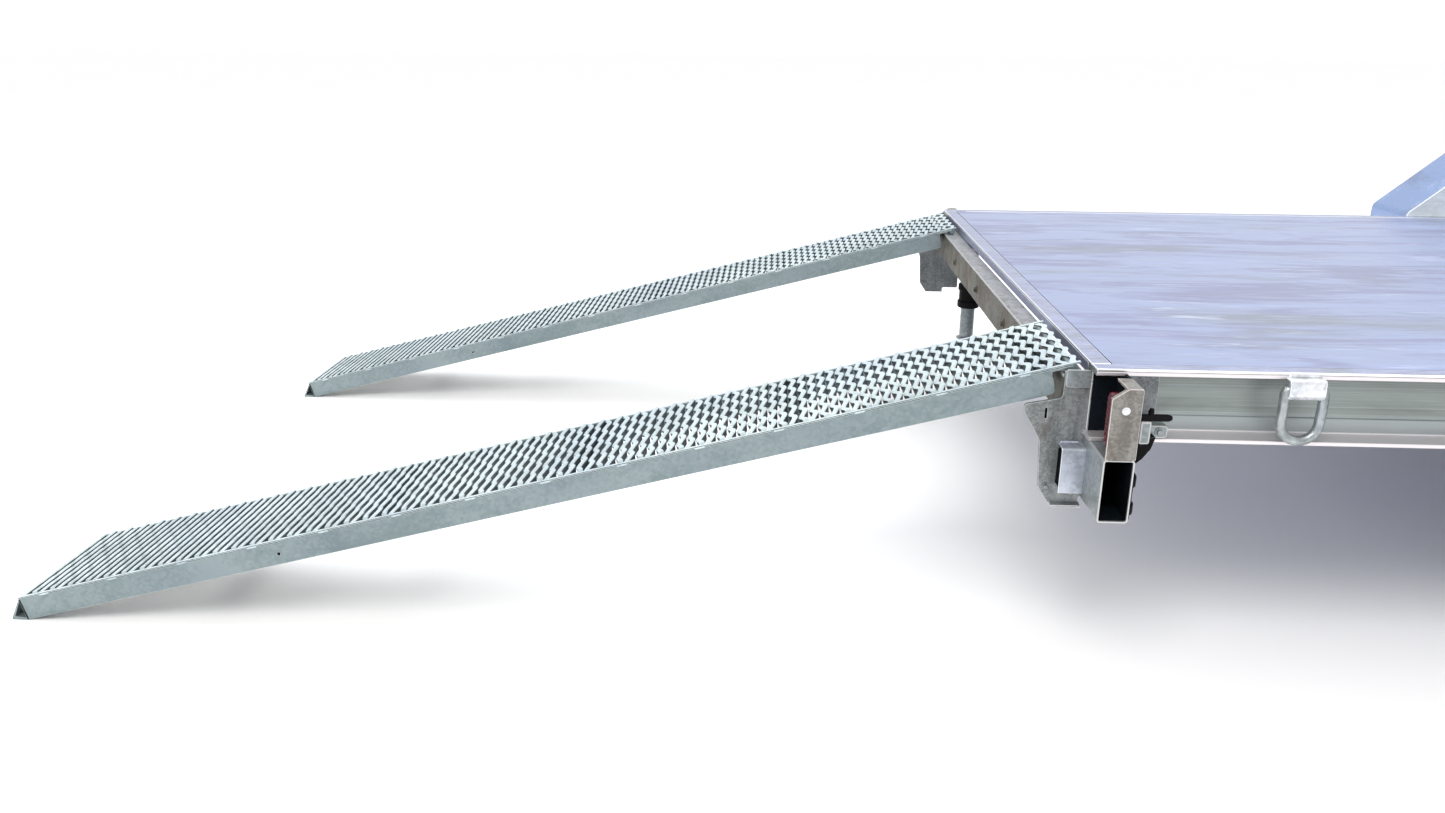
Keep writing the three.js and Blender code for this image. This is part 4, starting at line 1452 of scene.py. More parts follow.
@dataclass
class PropStand:
    """A rear prop stand: a sliding leg in a black clamp with a lever out past the rail."""

    side: Side
    shaft: float = 0.092        # the stand's place along x, from the deck's rear edge
    from_centre: float = 0.899
    collar: float = 0.038
    tube: float = 0.0245
    lever_z: float = 0.537
    lever_out: float = 1.023
    hook_out: Point2 = (1.006, 1.030)   # how far out the hook's two faces are
    plate_out: Point2 = (0.985, 1.010)  # and those of the lever's bracket
    cheek_out: Point2 = (1.013, 1.031)
    holes: int = 4

    def build(self, finish: Finishes) -> None:
        """Builds the clamp, the lever and the leg.

        Args:
            finish: The finishes.
        """
        out = self.side.out
        word = self.side.word
        x, y = REAR + self.shaft, out(self.from_centre)
        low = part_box(f"stand_clamp_{word}")[0]
        clamp = Stock()
        bore, rim, foot = self.tube + 0.0015, self.collar, low.z
        ring = [(bore, foot), (rim - 0.003, foot), (rim, foot + 0.004), (rim, foot + 0.022),
                (rim - 0.004, foot + 0.026), (rim - 0.004, foot + 0.058), (rim, foot + 0.062),
                (rim, foot + 0.080), (rim - 0.003, foot + 0.084), (bore, foot + 0.084)]
        clamp.turned_upright(ring, 32, (x, y))
        clamp.block((x - 0.018, out(self.from_centre + 0.026), low.z),
                    (x + 0.018, out(self.from_centre + 0.038), 0.468), 0.003)
        clamp.block((x - 0.018, out(self.from_centre + 0.028), 0.447),
                    (x - 0.004, out(1.022), 0.464), 0.004)
        hook = [(x - 0.021, 0.444), (x - 0.014, 0.445), (x, 0.458), (x + 0.014, 0.478),
                (x + 0.021, 0.504), (x + 0.010, 0.499), (x - 0.004, 0.485), (x - 0.020, 0.485)]
        near, far = self.hook_out
        clamp.prism(filleted(hook, 0.006, 4), Along.Y, out(near), out(far), 0.003)
        axis, rod_z = out(self.lever_out), self.lever_z
        clamp.swept([(x - 0.009 + k * 0.0043, axis, rod_z) for k in range(14)],
                    [0.0068] * 12 + [0.0062, 0.0040], 14)
        clamp.swept([(x + 0.008, axis, rod_z), (x + 0.008, axis, rod_z + 0.012),
                     (x + 0.009, axis, rod_z + 0.018)], [0.004, 0.0055, 0.0035], 10)
        clamp.piece(f"stand_clamp_black_{word}", finish.black, Slot.BLACK, "root",
                    [f"stand_clamp_{word}"])
        near, far = self.plate_out
        plate = filleted(rectangle(x + 0.009, x + 0.048, 0.4920, 0.518), 0.009, 5)
        cap = Stock().prism(plate, Along.Y, out(near), out(far), 0.003)
        cap.bolt((x + 0.032, out(far), 0.505), (0, out(1), 0), 0.010, 0.005, 0.009)
        near, far = self.cheek_out
        cap.block((x - 0.011, out(near), 0.4864), (x + 0.010, out(far), 0.532), 0.004)
        cap.piece(f"lever_bracket_{word}", finish.zinc, Slot.BRIGHT, "root")
        self.leg(finish, x, y)

    def leg(self, finish: Finishes, x: float, y: float) -> None:
        """The sliding leg: a tube with a plug, a welded foot and a row of pin holes.

        Args:
            finish: The finishes.
            x: Its place along x.
            y: Its place across.
        """
        word = self.side.word
        node = f"prop_stand_{word}"
        low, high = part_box(node)
        leg = Stock()
        foot = [(0.0, 0.0), (0.030, 0.0), (0.034, 0.003), (0.034, 0.007), (0.032, 0.008),
                (0.0275, 0.009), (0.024, 0.013)]
        head = [(0.024, high.z - 0.002), (0.022, high.z), (0.0, high.z)]
        leg.turned_upright([(r, low.z + z) for r, z in foot] + head, 32, (x, y))
        for k in range(self.holes):
            z = low.z + 0.05 + 0.03 * k
            leg.swept([(x - 0.0236, y, z), (x - 0.0243, y, z)], [0.0052, 0.0042], 12)
        leg.piece(f"stand_leg_{word}", finish.zinc, Slot.ZINC, f"stand_{word}", [node])


# ---- loading ramps


@dataclass
class LoadingRamp:
    """A loading ramp hooked on the ledge; its own x runs up the ramp from the hook's axis."""

    side: Side
    slope: float = math.radians(14.65878)
    half: float = 0.1625
    length: float = 2.232
    rail_start: float = 0.042
    low: float = -0.041
    high: float = 0.0077
    wall: float = 0.005
    foot: float = 0.022
    bar: float = 0.008
    toe: float = 0.034
    rungs: tuple[float, ...] = (0.062, 0.549, 0.976, 1.403, 1.830)
    rung_width: float = 0.044
    rung_depth: float = 0.020
    drain: tuple[float, float] = (1.640, -0.018)
    margin: float = 0.0105      # the flat strip along each edge of the mesh
    long_way: float = 0.0608
    short_way: float = 0.042
    strand: float = 0.0116      # the width of a strand's top face, which keeps the base colour
    depth: float = 0.0180
    keel: float = 0.0030        # how much narrower its foot is, to each side
    rise: float = 0.0044        # how far a strand climbs from one bond to the next
    seat: float = -0.0060       # the underside of the mesh
    strip: float = 0.0080       # the underside of its edge strips
    strip_thick: float = 0.0036
    tacks: int = 14             # the welds of each strip and the pitch between them
    tack_pitch: float = 0.16
    neck: float = 0.030         # short of this place the mesh thins to clear the ledge
    thinned: float = 0.3        # to this share of its depth
    clip: float = 1.4           # how far the zig-zag is flattened at its bonds
    head: float = 0.016         # how far it reaches past the axis

    def place(self) -> Matrix:
        """Where the ramp's own axes lie in the frame."""
        joint = next(j for j in frame["joints"] if j["name"] == f"ramp_{self.side.word}_lift")
        return Matrix.Translation(joint["pos_m"]) @ Matrix.Rotation(-self.slope, 4, "Y")

    def build(self, finish: Finishes) -> None:
        """Builds the frame and the mesh tread.

        Args:
            finish: The finishes.
        """
        word, place = self.side.word, self.place()
        body = f"ramp_{word}"
        self.frame_work().piece(f"ramp_frame_zinc_{word}", finish.ramp, Slot.ZINC, body,
                                [f"ramp_frame_{word}"], place)
        self.mesh_tread().piece(f"ramp_mesh_{word}", finish.mesh, Slot.BRIGHT, body,
                                [f"ramp_tread_{word}"], place)
        x, z = self.drain
        # painted shade: near-black discs inside the drain holes
        hole_shade = Stock()
        for s in (-1, 1):
            hole_shade.swept([(-x, s * (self.half - 0.0015), z), (-x, s * (self.half - 0.004), z)],
                        0.0032, 12)
        hole_shade.piece(f"ramp_drain_plug_{word}", finish.inside, Slot.BLACK, body, (), place)

    def frame_work(self) -> Stock:
        """Side plates, rungs, hook bar and toe.

        Returns:
            The frame.
        """
        work = Stock()
        half, low, high, wall = self.half, self.low, self.high, self.wall
        side_view = filleted(rectangle(-self.length, -self.rail_start, low, high),
                             {1: 0.010, 2: 0.007}, 4)
        x, z = self.drain
        turns = [k * math.pi / 6 for k in range(12)]
        drain = [(-x + 0.0035 * math.cos(turn), z + 0.0045 * math.sin(turn)) for turn in turns]
        for s in (-1, 1):
            outer = s * half
            work.cut(side_view, Along.Y, outer - s * wall, outer,
                     [(drain, Along.Y, outer - s * 2 * wall, outer + s * wall)], SOFT)
            inner = outer - s * self.foot
            work.block((-self.length, inner, low),
                       (-self.rail_start - 0.004, outer - s * (wall - 0.0005), low + wall * 0.7),
                       0.001)
            work.block((-self.rail_start - wall, inner, 0.003), (0.0, outer, high), 0.0015)
        for k, centre in enumerate(self.rungs):
            self.rung(work, centre, k == 0)
        ends = (-half + 0.001, -half + 0.003, half - 0.003, half - 0.001)
        work.swept([(0, y, 0) for y in ends],
                   [self.bar - 0.002, self.bar, self.bar, self.bar - 0.002], 20)
        self.toe_tube(work)
        return work

    def rung(self, work: Stock, centre: float, head: bool) -> None:
        """One folded rung, with its welds to the side plates.

        Args:
            work: The frame's stock.
            centre: Its place along the ramp.
            head: Whether it is the head rung, which has no welds at its foot.
        """
        x, w, t = -centre, self.rung_width / 2, 0.003
        inside = self.half - self.wall + 0.0005
        top = self.seat - 0.0002
        deep = top - self.rung_depth
        section = filleted([(x - w, deep), (x - w, top), (x + w, top), (x + w, deep),
                            (x + w - t, deep), (x + w - t, top - t), (x - w + t, top - t),
                            (x - w + t, deep)], {1: 0.004, 2: 0.004, 5: 0.002, 6: 0.002}, 3)
        work.prism(section, Along.Y, -inside, inside, 0.0)
        if head:
            return
        for s in (-1, 1):
            bead = s * (inside - 0.0005)
            for edge in (x - w, x + w):
                work.weld((edge, bead, deep + 0.002), (edge, bead, top - 0.002), 0.003)

    def toe_tube(self, work: Stock) -> None:
        """The folded toe, a three-cornered tube open at its ends.

        Args:
            work: The frame's stock.
        """
        end, low, high, wall = -self.length, self.low, self.high, self.wall
        tip = low + self.toe * math.tan(self.slope)
        outer = filleted([(end + wall, low), (end + wall, high), (end, high), (end - self.toe, tip),
                          (end, low)], {2: 0.003, 3: 0.003}, 3)
        inner = [(end, low + wall), (end, high - wall), (end - self.toe + 2 * wall, tip + wall)]
        work.cut(outer, Along.Y, -self.half, self.half,
                 [(inner, Along.Y, -self.half - wall, self.half + wall)], 0.0008)

    def mesh_tread(self) -> Stock:
        """The raised expanded-metal tread between two flat strips.

        Returns:
            The tread.
        """
        tread = Stock()
        edge = self.half - self.margin
        for s in (-1, 1):
            tread.block((-self.length, s * edge, self.strip),
                        (self.head, s * self.half, self.strip + self.strip_thick), 0.0012)
        swing, lift = (self.short_way / 2 - self.strand) / 2, self.rise / 2
        middle = self.seat + lift + self.depth / 2
        w, d, soft = self.strand / 2, self.depth / 2, 0.0016
        corners = [Vector((a, 0, b)) for a, b in (
            (w - soft, d + 0.0006), (w, d - soft), (w - self.keel, -d), (self.keel - w, -d),
            (-w, d - soft - 0.0006), (soft - w, d - 0.0006))]
        count = round(2 * edge / (self.long_way / 8))
        row = 0
        x = self.head - w - swing - 0.001
        while x - swing - w > -self.length:
            self.strand_shell(tread, x, row, edge, count, swing, lift, middle, corners)
            x -= self.short_way / 2
            row += 1
        z = self.strip + 0.0004
        for k in range(self.tacks):
            place = -0.08 - k * self.tack_pitch
            for s in (-1, 1):
                y = s * (self.half - 0.0012)
                tread.weld((place, y, z), (place - 0.022, y, z), 0.0022)
        return tread

    def strand_shell(self, tread: Stock, x: float, row: int, edge: float, count: int, swing: float,
                     lift: float, middle: float, corners: Sequence[Vector]) -> None:
        """One strand, zig-zagging across the ramp between the two strips.

        Args:
            tread: The tread's stock.
            x: The strand's mean place along the ramp.
            row: Its number, which sets the phase.
            edge: How far out it runs.
            count: Steps across.
            swing: How far it swings along the ramp.
            lift: How far it swings up and down.
            middle: Its mean height.
            corners: Its section about its centre line.
        """
        points = []
        sides, crest = len(corners), middle + 2 * lift
        for i in range(count + 1):
            y = -edge - 0.001 + (2 * edge + 0.002) * i / count
            phase = ((y + edge) / self.long_way + 0.5 * (row % 2)) % 1.0
            wave = max(-1.0, min(1.0, (1 - 4 * abs(phase - 0.5)) * self.clip))
            centre = Vector((x + swing * wave, y, middle + lift * wave))
            for c in corners:
                place = centre + c
                if x > -self.neck:
                    place.z = crest - (crest - place.z) * self.thinned
                points.append(place)
        first = len(tread.faces)
        tread.add(points, loft(count + 1, sides))
        for f in range(count * sides):
            if f % sides in (1, 2, 3):      # the strand's flanks and foot: painted shade in the mesh's openings
                tread.worn[first + f] = 1.0


# ---- running gear


@dataclass
class RoadWheel:
    """A tyre and rim that turn together."""

    place: str
    side: Side
    steps: int = 264
    nuts: int = 6
    nut_circle: float = 0.0699
    windows: int = 8

    def build(self, finish: Finishes) -> None:
        """Builds the tyre, the rim, the drum and the fixings.

        Args:
            finish: The finishes.
        """
        name = f"{self.place}_{self.side.word}"
        body = f"wheel_{name}"
        low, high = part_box(f"tyre_{name}")
        centre = (low + high) / 2
        sign = float(self.side.value)
        Stock().turned(self.tyre_profile(), self.steps, centre, sign, self.tread_shift).piece(
            f"tyre_rubber_{name}", finish.tyre, Slot.TYRE, body, [f"tyre_{name}"])
        rim = Stock().turned(self.barrel_profile(), 96, centre, sign)
        rim.shell(self.disc(centre, sign), 0.0014)
        rim.piece(f"rim_silver_{name}", finish.silver, Slot.RIM, body, [f"rim_{name}"])
        self.hub(centre, sign, name, body, finish)

    @staticmethod
    def tyre_profile() -> list[Point2]:
        """The tyre's closed outline, as radius and y from its middle."""
        wall = [(0.1925, 0.074), (0.199, 0.0752), (0.206, 0.0752), (0.211, 0.080), (0.222, 0.0885),
                (0.226, 0.0900), (0.228, 0.0920), (0.240, 0.0955), (0.256, 0.0995), (0.270, 0.1013),
                (0.283, 0.1010), (0.288, 0.1002), (0.290, 0.1014), (0.296, 0.1006), (0.298, 0.0985),
                (0.312, 0.0955), (0.322, 0.0925), (0.331, 0.0880), (0.3375, 0.0810),
                (0.3405, 0.0730), (0.3420, 0.0640), (0.3428, 0.0520)]
        ribs: list[Point2] = []
        for middle in (0.0475, 0.0205):
            ribs += [(0.3432, middle + 0.0045), (0.3350, middle + 0.0035),
                     (0.3350, middle - 0.0035), (0.3436, middle - 0.0045)]
        half = wall + ribs + [(0.3440, 0.008)]
        mirrored = [(r, -y) for r, y in reversed(half)]
        return half + mirrored + [(0.1975, 0.0)]

    @staticmethod
    def tread_shift(radius: float, y: float, step: int) -> float:
        """The lateral grooves of the shoulders and the sipes of the ribs."""
        far = abs(y)
        beat = (step + (2 if y > 0 else 0)) % 4
        if radius > 0.330 and far > 0.0515:
            return -0.0062 if beat == 0 else 0.0
        if radius > 0.340 and 0.0245 < far < 0.0435:
            return -0.0035 if beat == 1 else 0.0
        if radius > 0.340 and far < 0.0165:
            return -0.0025 if (step + round(y * 200)) % 4 == 2 else 0.0
        return 0.0

    @staticmethod
    def barrel_profile() -> list[Point2]:
        """The rim barrel's closed outline, as radius and y."""
        outer = [(0.2030, -0.0812), (0.2030, -0.0770), (0.1985, -0.0755), (0.1930, -0.0730),
                 (0.1905, -0.0560), (0.1870, -0.0520), (0.1790, -0.0380), (0.1785, 0.0060),
                 (0.1850, 0.0300), (0.1895, 0.0500), (0.1925, 0.0730), (0.1985, 0.0755),
                 (0.2030, 0.0770), (0.2030, 0.0812)]
        inner = [(0.1995, 0.0800), (0.1890, 0.0750), (0.1850, 0.0530), (0.1805, 0.0310),
                 (0.1740, 0.0060), (0.1745, -0.0400), (0.1835, -0.0560), (0.1880, -0.0740),
                 (0.1990, -0.0800)]
        return outer + inner

    def disc(self, centre: Vector, sign: float) -> bmesh.types.BMesh:
        """The wheel disc: a dished plate with a ring of windows.

        Args:
            centre: The wheel's centre.
            sign: Which way it faces along y.

        Returns:
            The disc.
        """
        radii = (0.036, 0.048, 0.060, 0.082, 0.092, 0.100, 0.106, 0.116, 0.130, 0.143, 0.149,
                 0.158, 0.168, 0.1765)
        rise = (0.0375, 0.0385, 0.0385, 0.0385, 0.0400, 0.0440, 0.0465, 0.0480, 0.0470, 0.0430,
                0.0400, 0.0350, 0.0290, 0.0220)
        steps = self.windows * 12
        part = bmesh.new()
        grid = [[[part.verts.new((
            centre.x + r * math.cos(2 * math.pi * i / steps), centre.y + sign * (y - thick),
            centre.z + r * math.sin(2 * math.pi * i / steps))) for r, y in zip(radii, rise)]
            for i in range(steps)] for thick in (0.0, 0.0055)]

        def solid(i: int, j: int) -> bool:
            """Whether the plate has metal in this cell."""
            if not 0 <= j < len(radii) - 1:
                return False
            beat = i % 12
            wide = 2 <= beat <= 9 if 6 < j < 9 else 3 <= beat <= 8
            return not (6 <= j <= 9 and wide)

        for i in range(steps):
            n = (i + 1) % steps
            for j in range(len(radii) - 1):
                if not solid(i, j):
                    continue
                for face in grid:
                    part.faces.new((face[i][j], face[n][j], face[n][j + 1], face[i][j + 1]))
                edges = (((i, j), (n, j), (i, j - 1)), ((i, j + 1), (n, j + 1), (i, j + 1)),
                         ((i, j), (i, j + 1), ((i - 1) % steps, j)), ((n, j), (n, j + 1), (n, j)))
                for (a, b), (c, d), (p, q) in edges:
                    if not solid(p, q):
                        part.faces.new((grid[0][a][b], grid[0][c][d], grid[1][c][d],
                                        grid[1][a][b]))
        return part

    def hub(self, centre: Vector, sign: float, name: str, body: str, finish: Finishes) -> None:
        """The drum, the cap, the nuts and the valve.

        Args:
            centre: The wheel's centre.
            sign: Which way it faces along y.
            name: The wheel's name.
            body: The body it turns with.
            finish: The finishes.
        """
        drum = Stock().turned([(0.0215, -0.058), (0.118, -0.058), (0.124, -0.056), (0.124, -0.048),
                               (0.121, -0.046), (0.121, -0.040), (0.127, -0.038), (0.127, 0.018),
                               (0.118, 0.024), (0.074, 0.031), (0.0215, 0.031)], 64, centre, sign)
        drum.piece(f"brake_drum_{name}", finish.stained, Slot.WEATHERED, body)
        fixings = Stock().turned([(0.0, 0.028), (0.0375, 0.028), (0.0375, 0.040), (0.0355, 0.043),
                                  (0.0350, 0.058), (0.0335, 0.066), (0.0290, 0.070),
                                  (0.0120, 0.0718), (0.0, 0.072)], 48, centre, sign)
        for k in range(self.nuts):
            dx, dz = polar(self.nut_circle, 2 * math.pi * (k + 0.5) / self.nuts)
            x, z = centre.x + dx, centre.z + dz
            fixings.bolt((x, centre.y + sign * 0.0386, z), (0, sign, 0), 0.019, 0.014, 0.0135)
            fixings.swept([(x, centre.y + sign * 0.052, z), (x, centre.y + sign * 0.0585, z)],
                          [0.006, 0.005], 12)
        fixings.piece(f"wheel_nuts_{name}", finish.bright, Slot.BRIGHT, body)
        turn = math.radians(22)
        valve = [(centre.x + r * math.cos(turn), centre.y + sign * y, centre.z + r * math.sin(turn))
                 for r, y in ((0.176, 0.050), (0.170, 0.058), (0.168, 0.066), (0.1675, 0.080))]
        Stock().swept(valve, [0.0052, 0.0045, 0.0036, 0.0032], 12).piece(
            f"valve_{name}", finish.black, Slot.TYRE, body)


@dataclass
class RunningGear:
    """The torsion axles below the rails, each on two bolted seats to a side."""

    seat_out: float = 0.972
    weld_out: float = 0.9508
    half_seat: float = 0.058
    half_weld: float = 0.036
    beam_behind: float = 0.038      # the beam's middle, from its front face
    beam_below: float = 0.074       # and from the rails' underside

    def build(self, finish: Finishes) -> None:
        """Builds both axles with the bolted seats that hold them to the rails.

        Args:
            finish: The finishes.
        """
        for place in ("rear", "front"):
            node = f"axle_{place}"
            beam = Stock().from_node(node)
            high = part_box(node)[1]
            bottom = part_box("side_rail_right")[0].z
            middle, bead = high.x - self.beam_behind, bottom - self.beam_below
            for side in Side:
                for dx in (-self.half_seat, self.half_seat):
                    beam.bolt((middle + dx, side.out(self.seat_out), bottom + 0.0082),
                              (0, 0, 1), 0.017, 0.010, 0.014)
                y = side.out(self.weld_out)
                beam.weld((middle - self.half_weld, y, bead), (middle + self.half_weld, y, bead),
                          0.003)
            beam.piece(f"axle_beam_{place}", finish.zinc, Slot.ZINC, "root", [node])


@dataclass
class Fender:
    """A folded fender over both wheels of one side: bent skin, inner panel, outer lip and foot."""

    side: Side
    wall: float = 0.004
    upright: float = 0.008      # from the deck's top to the foot of each slope
    skirt: float = 0.058        # how far the ends hang below their slopes
    slope: float = math.radians(40)
    lip: float = 0.045
    bolts: int = 9
    bolt_row: float = 0.604

    def arch(self, low: Vector, high: Vector, ground: float, knee: float,
             shrink: float) -> list[Point2]:
        """The arch from its rear foot to its front foot, moved inwards.

        Args:
            low: The fender's lowest corner.
            high: Its highest corner.
            ground: Where the arch starts.
            knee: Where its slopes start.
            shrink: How far inwards.

        Returns:
            The points in x and z.
        """
        run = (high.z - knee) / math.tan(self.slope)
        turn = shrink * math.tan(self.slope / 2)
        bend = shrink * math.tan((math.pi / 2 - self.slope) / 2)
        return [(low.x + shrink, ground), (low.x + shrink, knee - bend),
                (low.x + run + turn, high.z - shrink), (high.x - run - turn, high.z - shrink),
                (high.x - shrink, knee - bend), (high.x - shrink, ground)]

    def build(self, finish: Finishes) -> None:
        """Builds the fender with its foot bolts.

        Args:
            finish: The finishes.
        """
        node = f"fender_{self.side.word}"
        low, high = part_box(node)
        inner, outer = reach(low, high)
        out, wall = self.side.out, self.wall
        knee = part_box("deck")[1].z + self.upright
        ground = knee - self.skirt
        outside, inside, edge = (
            filleted(self.arch(low, high, ground, knee, shrink),
                     {1: lower, 2: upper, 3: upper, 4: lower}, 5)
            for shrink, lower, upper in ((0.0, 0.03, 0.05), (wall, 0.026, 0.046),
                                         (self.lip, 0.01, 0.03)))
        skin = Stock()
        skin.prism(outside + inside[::-1], Along.Y, out(inner + wall + 0.0002), out(outer), SOFT)
        skin.prism(outside + edge[::-1], Along.Y, out(outer - wall), out(outer - 0.0004), 0.0008)
        skin.swept([(x, out(outer - wall / 2), z) for x, z in edge], 0.0042, 8)
        skin.piece(f"fender_skin_{self.side.word}", finish.fender, Slot.FENDER, "root", [node])
        panel = [(low.x, low.z), (high.x, low.z), *outside[::-1]]
        cheek = Stock().prism(panel, Along.Y, out(inner), out(inner + wall), SOFT)
        for k in range(self.bolts):
            x = low.x + 0.09 + k * (high.x - low.x - 0.18) / (self.bolts - 1)
            cheek.bolt((x, out(inner + wall), self.bolt_row), (0, out(1), 0), 0.013, 0.006, 0.012)
        cheek.piece(f"fender_panel_{self.side.word}", finish.panel, Slot.FENDER, "root")


# ---- tie-downs


@dataclass
class TieDown:
    """A strap bent round the pin of a hanging ring, welded under the deck's edge."""

    side: Side
    number: int
    rod: float = 0.0092
    wall: float = 0.0042
    half_strap: float = 0.0325
    bend: float = 0.010         # of the ring's upper corners

    def build(self, finish: Finishes) -> None:
        """Builds the strap and the ring.

        Args:
            finish: The finishes.
        """
        name = f"{self.side.word}_{self.number}"
        node = f"tie_down_{name}"
        low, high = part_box(node)
        out = self.side.out
        inner, outer = reach(low, high)
        x, top, wall = (low.x + high.x) / 2, high.z, self.wall
        foot = top - 0.040
        outline = filleted([(inner, top), (outer + 0.002, top - 0.002),
                            (outer + 0.004, foot + 0.010), (outer - 0.003, foot),
                            (inner, foot + 0.001), (inner, foot + wall),
                            (outer - 0.005, foot + wall), (outer - wall, foot + 0.012),
                            (outer - wall - 0.001, top - wall - 0.001), (inner, top - wall)],
                           {1: 0.008, 2: 0.008, 3: 0.006, 6: 0.003, 7: 0.005, 8: 0.004}, 4)
        strap = Stock().prism(self.side.section(outline), Along.X, x - self.half_strap,
                              x + self.half_strap, 0.0011)
        near, bead = out(inner + 0.001), top + 0.0012
        strap.weld((x - 0.030, near, bead), (x + 0.030, near, bead), 0.0034)
        strap.piece(f"ring_strap_{name}", finish.bright, Slot.BRIGHT, "root", [node])
        across = (high.x - low.x) / 2 - self.rod
        pin, base, y = foot + 0.0195, low.z + self.rod + across, out(inner + 0.0105)
        bend = self.bend
        knee = (pin + base) / 2
        path = [(x, y, pin), (x - across + bend, y, pin),
                (x - across + bend * 0.3, y, pin - bend * 0.3), (x - across, y, pin - bend),
                (x - across, y + out(0.002), knee)]
        for k in range(17):
            dx, dz = polar(across, math.pi * (1 + k / 16))
            path.append((x + dx, y + out(0.003 * math.sin(math.pi * k / 16)), base + dz))
        path += [(x + across, y + out(0.002), knee), (x + across, y, pin - bend),
                 (x + across - bend * 0.3, y, pin - bend * 0.3), (x + across - bend, y, pin)]
        ring = Stock().swept(path, self.rod, 16, closed=True)
        ring.piece(f"ring_{name}", finish.ring, Slot.BRIGHT, "root")


# ---- nose


@dataclass
class Nose:
    """The drawbar, the coupler and the nose jack."""

    plate_top: float = 0.5447       # of the plates that are bolted to the drawbar
    arm_z: float = 0.962            # the level part of the jack's crank

    def build(self, finish: Finishes) -> None:
        """Builds the drawbar, the coupler and the jack.

        Args:
            finish: The finishes.
        """
        for side in Side:
            node = f"drawbar_{side.word}"
            tube = Stock().from_node(node, 0.004)
            tube.piece(f"drawbar_tube_{side.word}", finish.zinc, Slot.ZINC, "root", [node])
        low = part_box("coupler")[0]
        coupler = Stock().from_node("coupler", 0.0018)
        for x, y in ((0.05, 0.07), (0.05, -0.07), (0.15, 0.045), (0.15, -0.045)):
            coupler.bolt((low.x + x, y, self.plate_top), (0, 0, 1), 0.019, 0.011, 0.016)
        coupler.piece("coupler_body", finish.zinc, Slot.ZINC, "root", ["coupler"])
        lever = Stock().from_node("coupler_latch", 0.0022)
        low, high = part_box("coupler_latch")
        lever.swept([(high.x - 0.010, low.y - 0.004, high.z - 0.004),
                     (high.x - 0.010, high.y + 0.004, high.z - 0.004)], 0.0042, 12)
        lever.piece("coupler_lever", finish.black, Slot.BLACK, "root", ["coupler_latch"])
        self.jack(finish)

    def jack(self, finish: Finishes) -> None:
        """Builds the jack's tube, leg and crank.

        Args:
            finish: The finishes.
        """
        low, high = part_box("jack_tube")
        x = (low.x + high.x) / 2
        tube = Stock().from_node("jack_tube", 0.002)
        for dx in (-0.048, 0.048):
            for dy in (-0.10, 0.10):
                tube.bolt((x + dx, dy, self.plate_top), (0, 0, 1), 0.017, 0.010, 0.014)
        for collar in ([(0.0318, 0.548), (0.036, 0.548), (0.036, 0.556), (0.0318, 0.560)],
                       [(0.0318, 0.322), (0.0335, 0.322), (0.0335, 0.330), (0.0318, 0.332)]):
            tube.turned_upright(collar, 40, (x, 0.0))
        for way in (-1, 1):
            tube.bolt((x, way * 0.0442, high.z - 0.03), (0, way, 0), 0.013, 0.006, 0.012)
        tube.piece("jack_tube_zinc", finish.zinc, Slot.ZINC, "root", ["jack_tube"])
        leg = Stock().from_node("jack_leg", 0.0025)
        leg.weld_ring((x, 0.0, 0.0135), 0.0262, 0.003)
        leg.piece("jack_leg_zinc", finish.zinc, Slot.ZINC, "jack", ["jack_leg"])
        low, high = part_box("jack_crank")
        crank = Stock()
        arm, grip_x, z = high.x - 0.007, low.x + 0.013, self.arm_z
        bent = [(arm, 0, low.z), (arm, 0, z - 0.014), (arm - 0.003, 0, z - 0.005),
                (arm - 0.011, 0, z), (arm - 0.06, 0, z), (low.x + 0.03, 0, z),
                (low.x + 0.018, 0, z + 0.003),
                (grip_x, 0, z + 0.012), (grip_x, 0, high.z - 0.006)]
        crank.swept(bent, 0.0065, 14)
        grip = [(grip_x, 0, z + 0.008 + k * 0.0078) for k in range(11)]
        sizes = [0.009, 0.0125] + [0.0125 if k % 2 else 0.0118 for k in range(7)] + [0.0125, 0.009]
        crank.swept(grip, sizes, 18)
        crank.piece("jack_crank_black", finish.black, Slot.BLACK, "root", ["jack_crank"])


# ---- studio


@dataclass(frozen=True)
class Lamp:
    """A soft area light aimed at a point."""

    name: str
    place: Point3
    aim: Point3
    size: tuple[float, float]
    watts: float
    tint: tuple[float, float, float] = (1.0, 1.0, 1.0)

    def hang(self) -> None:
        """Adds the light."""
        light = bpy.data.lights.new(self.name, "AREA")
        light.shape, light.size, light.size_y = "RECTANGLE", *self.size
        light.energy, light.color = self.watts, self.tint
        made = bpy.data.objects.new(self.name, light)
        way = Vector(self.aim) - Vector(self.place)
        made.matrix_world = (Matrix.Translation(self.place)
                             @ way.to_track_quat("-Z", "Y").to_matrix().to_4x4())
        bpy.context.scene.collection.objects.link(made)


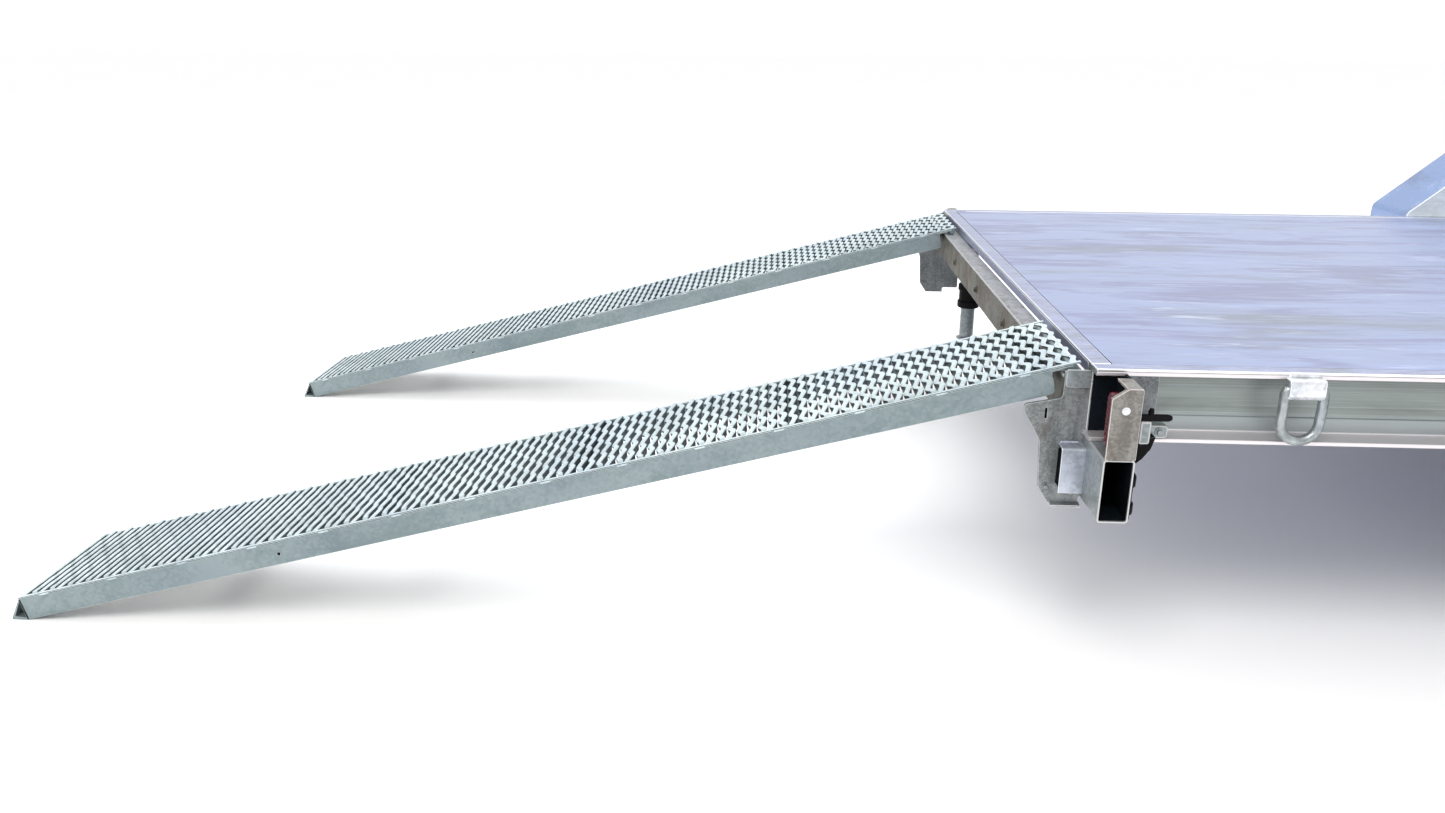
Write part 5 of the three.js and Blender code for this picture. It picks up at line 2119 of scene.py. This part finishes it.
@dataclass
class Studio:
    """The pale floor, the soft lights and the camera."""

    eye: Point3 = (-0.600, -3.011, 1.198)      # from the deck's rear edge
    yaw: float = -0.044
    pitch: float = 0.319
    roll: float = 0.008
    lens: float = 27.98
    floor: tuple[Colour, Colour] = ((0.93, 0.93, 0.93, 1), (0.96, 0.96, 0.96, 1))
    glow: float = 1.05

    def build(self) -> None:
        """Sets the floor, the light and the camera."""
        self.lay_floor()
        self.light()
        self.set_camera()

    def lay_floor(self) -> None:
        """A wide pale floor with a faint unevenness."""
        rings, steps = (3.0, 9.0, 30.0, 90.0), 64
        points = [(0.0, 0.0, 0.0)]
        points += [(*polar(radius, 2 * math.pi * k / steps), 0.0)
                   for radius in rings for k in range(steps)]
        faces = [(0, 1 + k, 1 + (k + 1) % steps) for k in range(steps)]
        for r in range(len(rings) - 1):
            a, b = 1 + r * steps, 1 + (r + 1) * steps
            faces += [(a + k, b + k, b + (k + 1) % steps, a + (k + 1) % steps)
                      for k in range(steps)]
        ground = Stock().add(points, faces).raw("floor")
        g = Graph("pale_floor")
        cloud = g.noise((0.8, 0.8, 0.8), 3.0)
        colour = g.mix(cloud, *self.floor)
        ground.data.materials.append(
            g.close({"Base Color": colour, "Roughness": 0.8 + cloud * 0.1}))

    def light(self) -> None:
        """A pale surround and three soft lights."""
        world = bpy.data.worlds.new("surround")
        bpy.context.scene.world = world
        world.use_nodes = True
        shade = world.node_tree.nodes["Background"]
        shade.inputs["Color"].default_value = (1.0, 1.0, 1.0, 1.0)
        shade.inputs["Strength"].default_value = self.glow
        aim = (REAR - 0.2, 0.0, 0.5)
        for lamp in (
            Lamp("sun_panel", (REAR - 1.5, -4.5, 5.5), aim, (3.0, 3.0), 230.0, (1.0, 0.98, 0.95)),
            Lamp("sky_panel", (REAR + 2.5, 2.5, 6.0), (REAR + 1.5, 0.0, 0.6), (6.0, 4.0), 190.0,
                 (0.90, 0.94, 1.0)),
            Lamp("rear_panel", (REAR - 6.0, 1.0, 2.6), aim, (3.0, 2.0), 90.0),
        ):
            lamp.hang()

    def set_camera(self) -> None:
        """The camera at the chosen viewing angle."""
        ahead = Vector((math.sin(self.yaw) * math.cos(self.pitch),
                        math.cos(self.yaw) * math.cos(self.pitch), -math.sin(self.pitch)))
        level = Vector((math.cos(self.yaw), -math.sin(self.yaw), 0))
        upright = level.cross(ahead)
        right = level * math.cos(self.roll) + upright * math.sin(self.roll)
        up = upright * math.cos(self.roll) - level * math.sin(self.roll)
        data = bpy.data.cameras.new("camera")
        data.lens, data.sensor_width, data.clip_end = self.lens, 36.0, 400.0
        made = bpy.data.objects.new("camera", data)
        turn = Matrix((right, up, -ahead)).transposed().to_4x4()
        x, y, z = self.eye
        made.matrix_world = Matrix.Translation((REAR + x, y, z)) @ turn
        bpy.context.scene.collection.objects.link(made)
        bpy.context.scene.camera = made
        bpy.context.scene.view_settings.view_transform = "Standard"


# ---- trailer


def main() -> None:
    """Builds the studio and every sub-assembly."""
    logging.basicConfig(level=logging.INFO, format="%(message)s")
    Studio().build()
    finish = Finishes()
    assemblies: list = [Deck(), Underframe(), RunningGear(), Nose()]
    for side in Side:
        assemblies += [SideRail(side), RearCorner(side), PropStand(side), LoadingRamp(side),
                       Fender(side)]
        assemblies += [TieDown(side, number) for number in (1, 2, 3)]
        assemblies += [RoadWheel(place, side) for place in ("rear", "front")]
    for assembly in assemblies:
        log.info("building %s", assembly)
        assembly.build(finish)


if __name__ == "__main__":
    main()
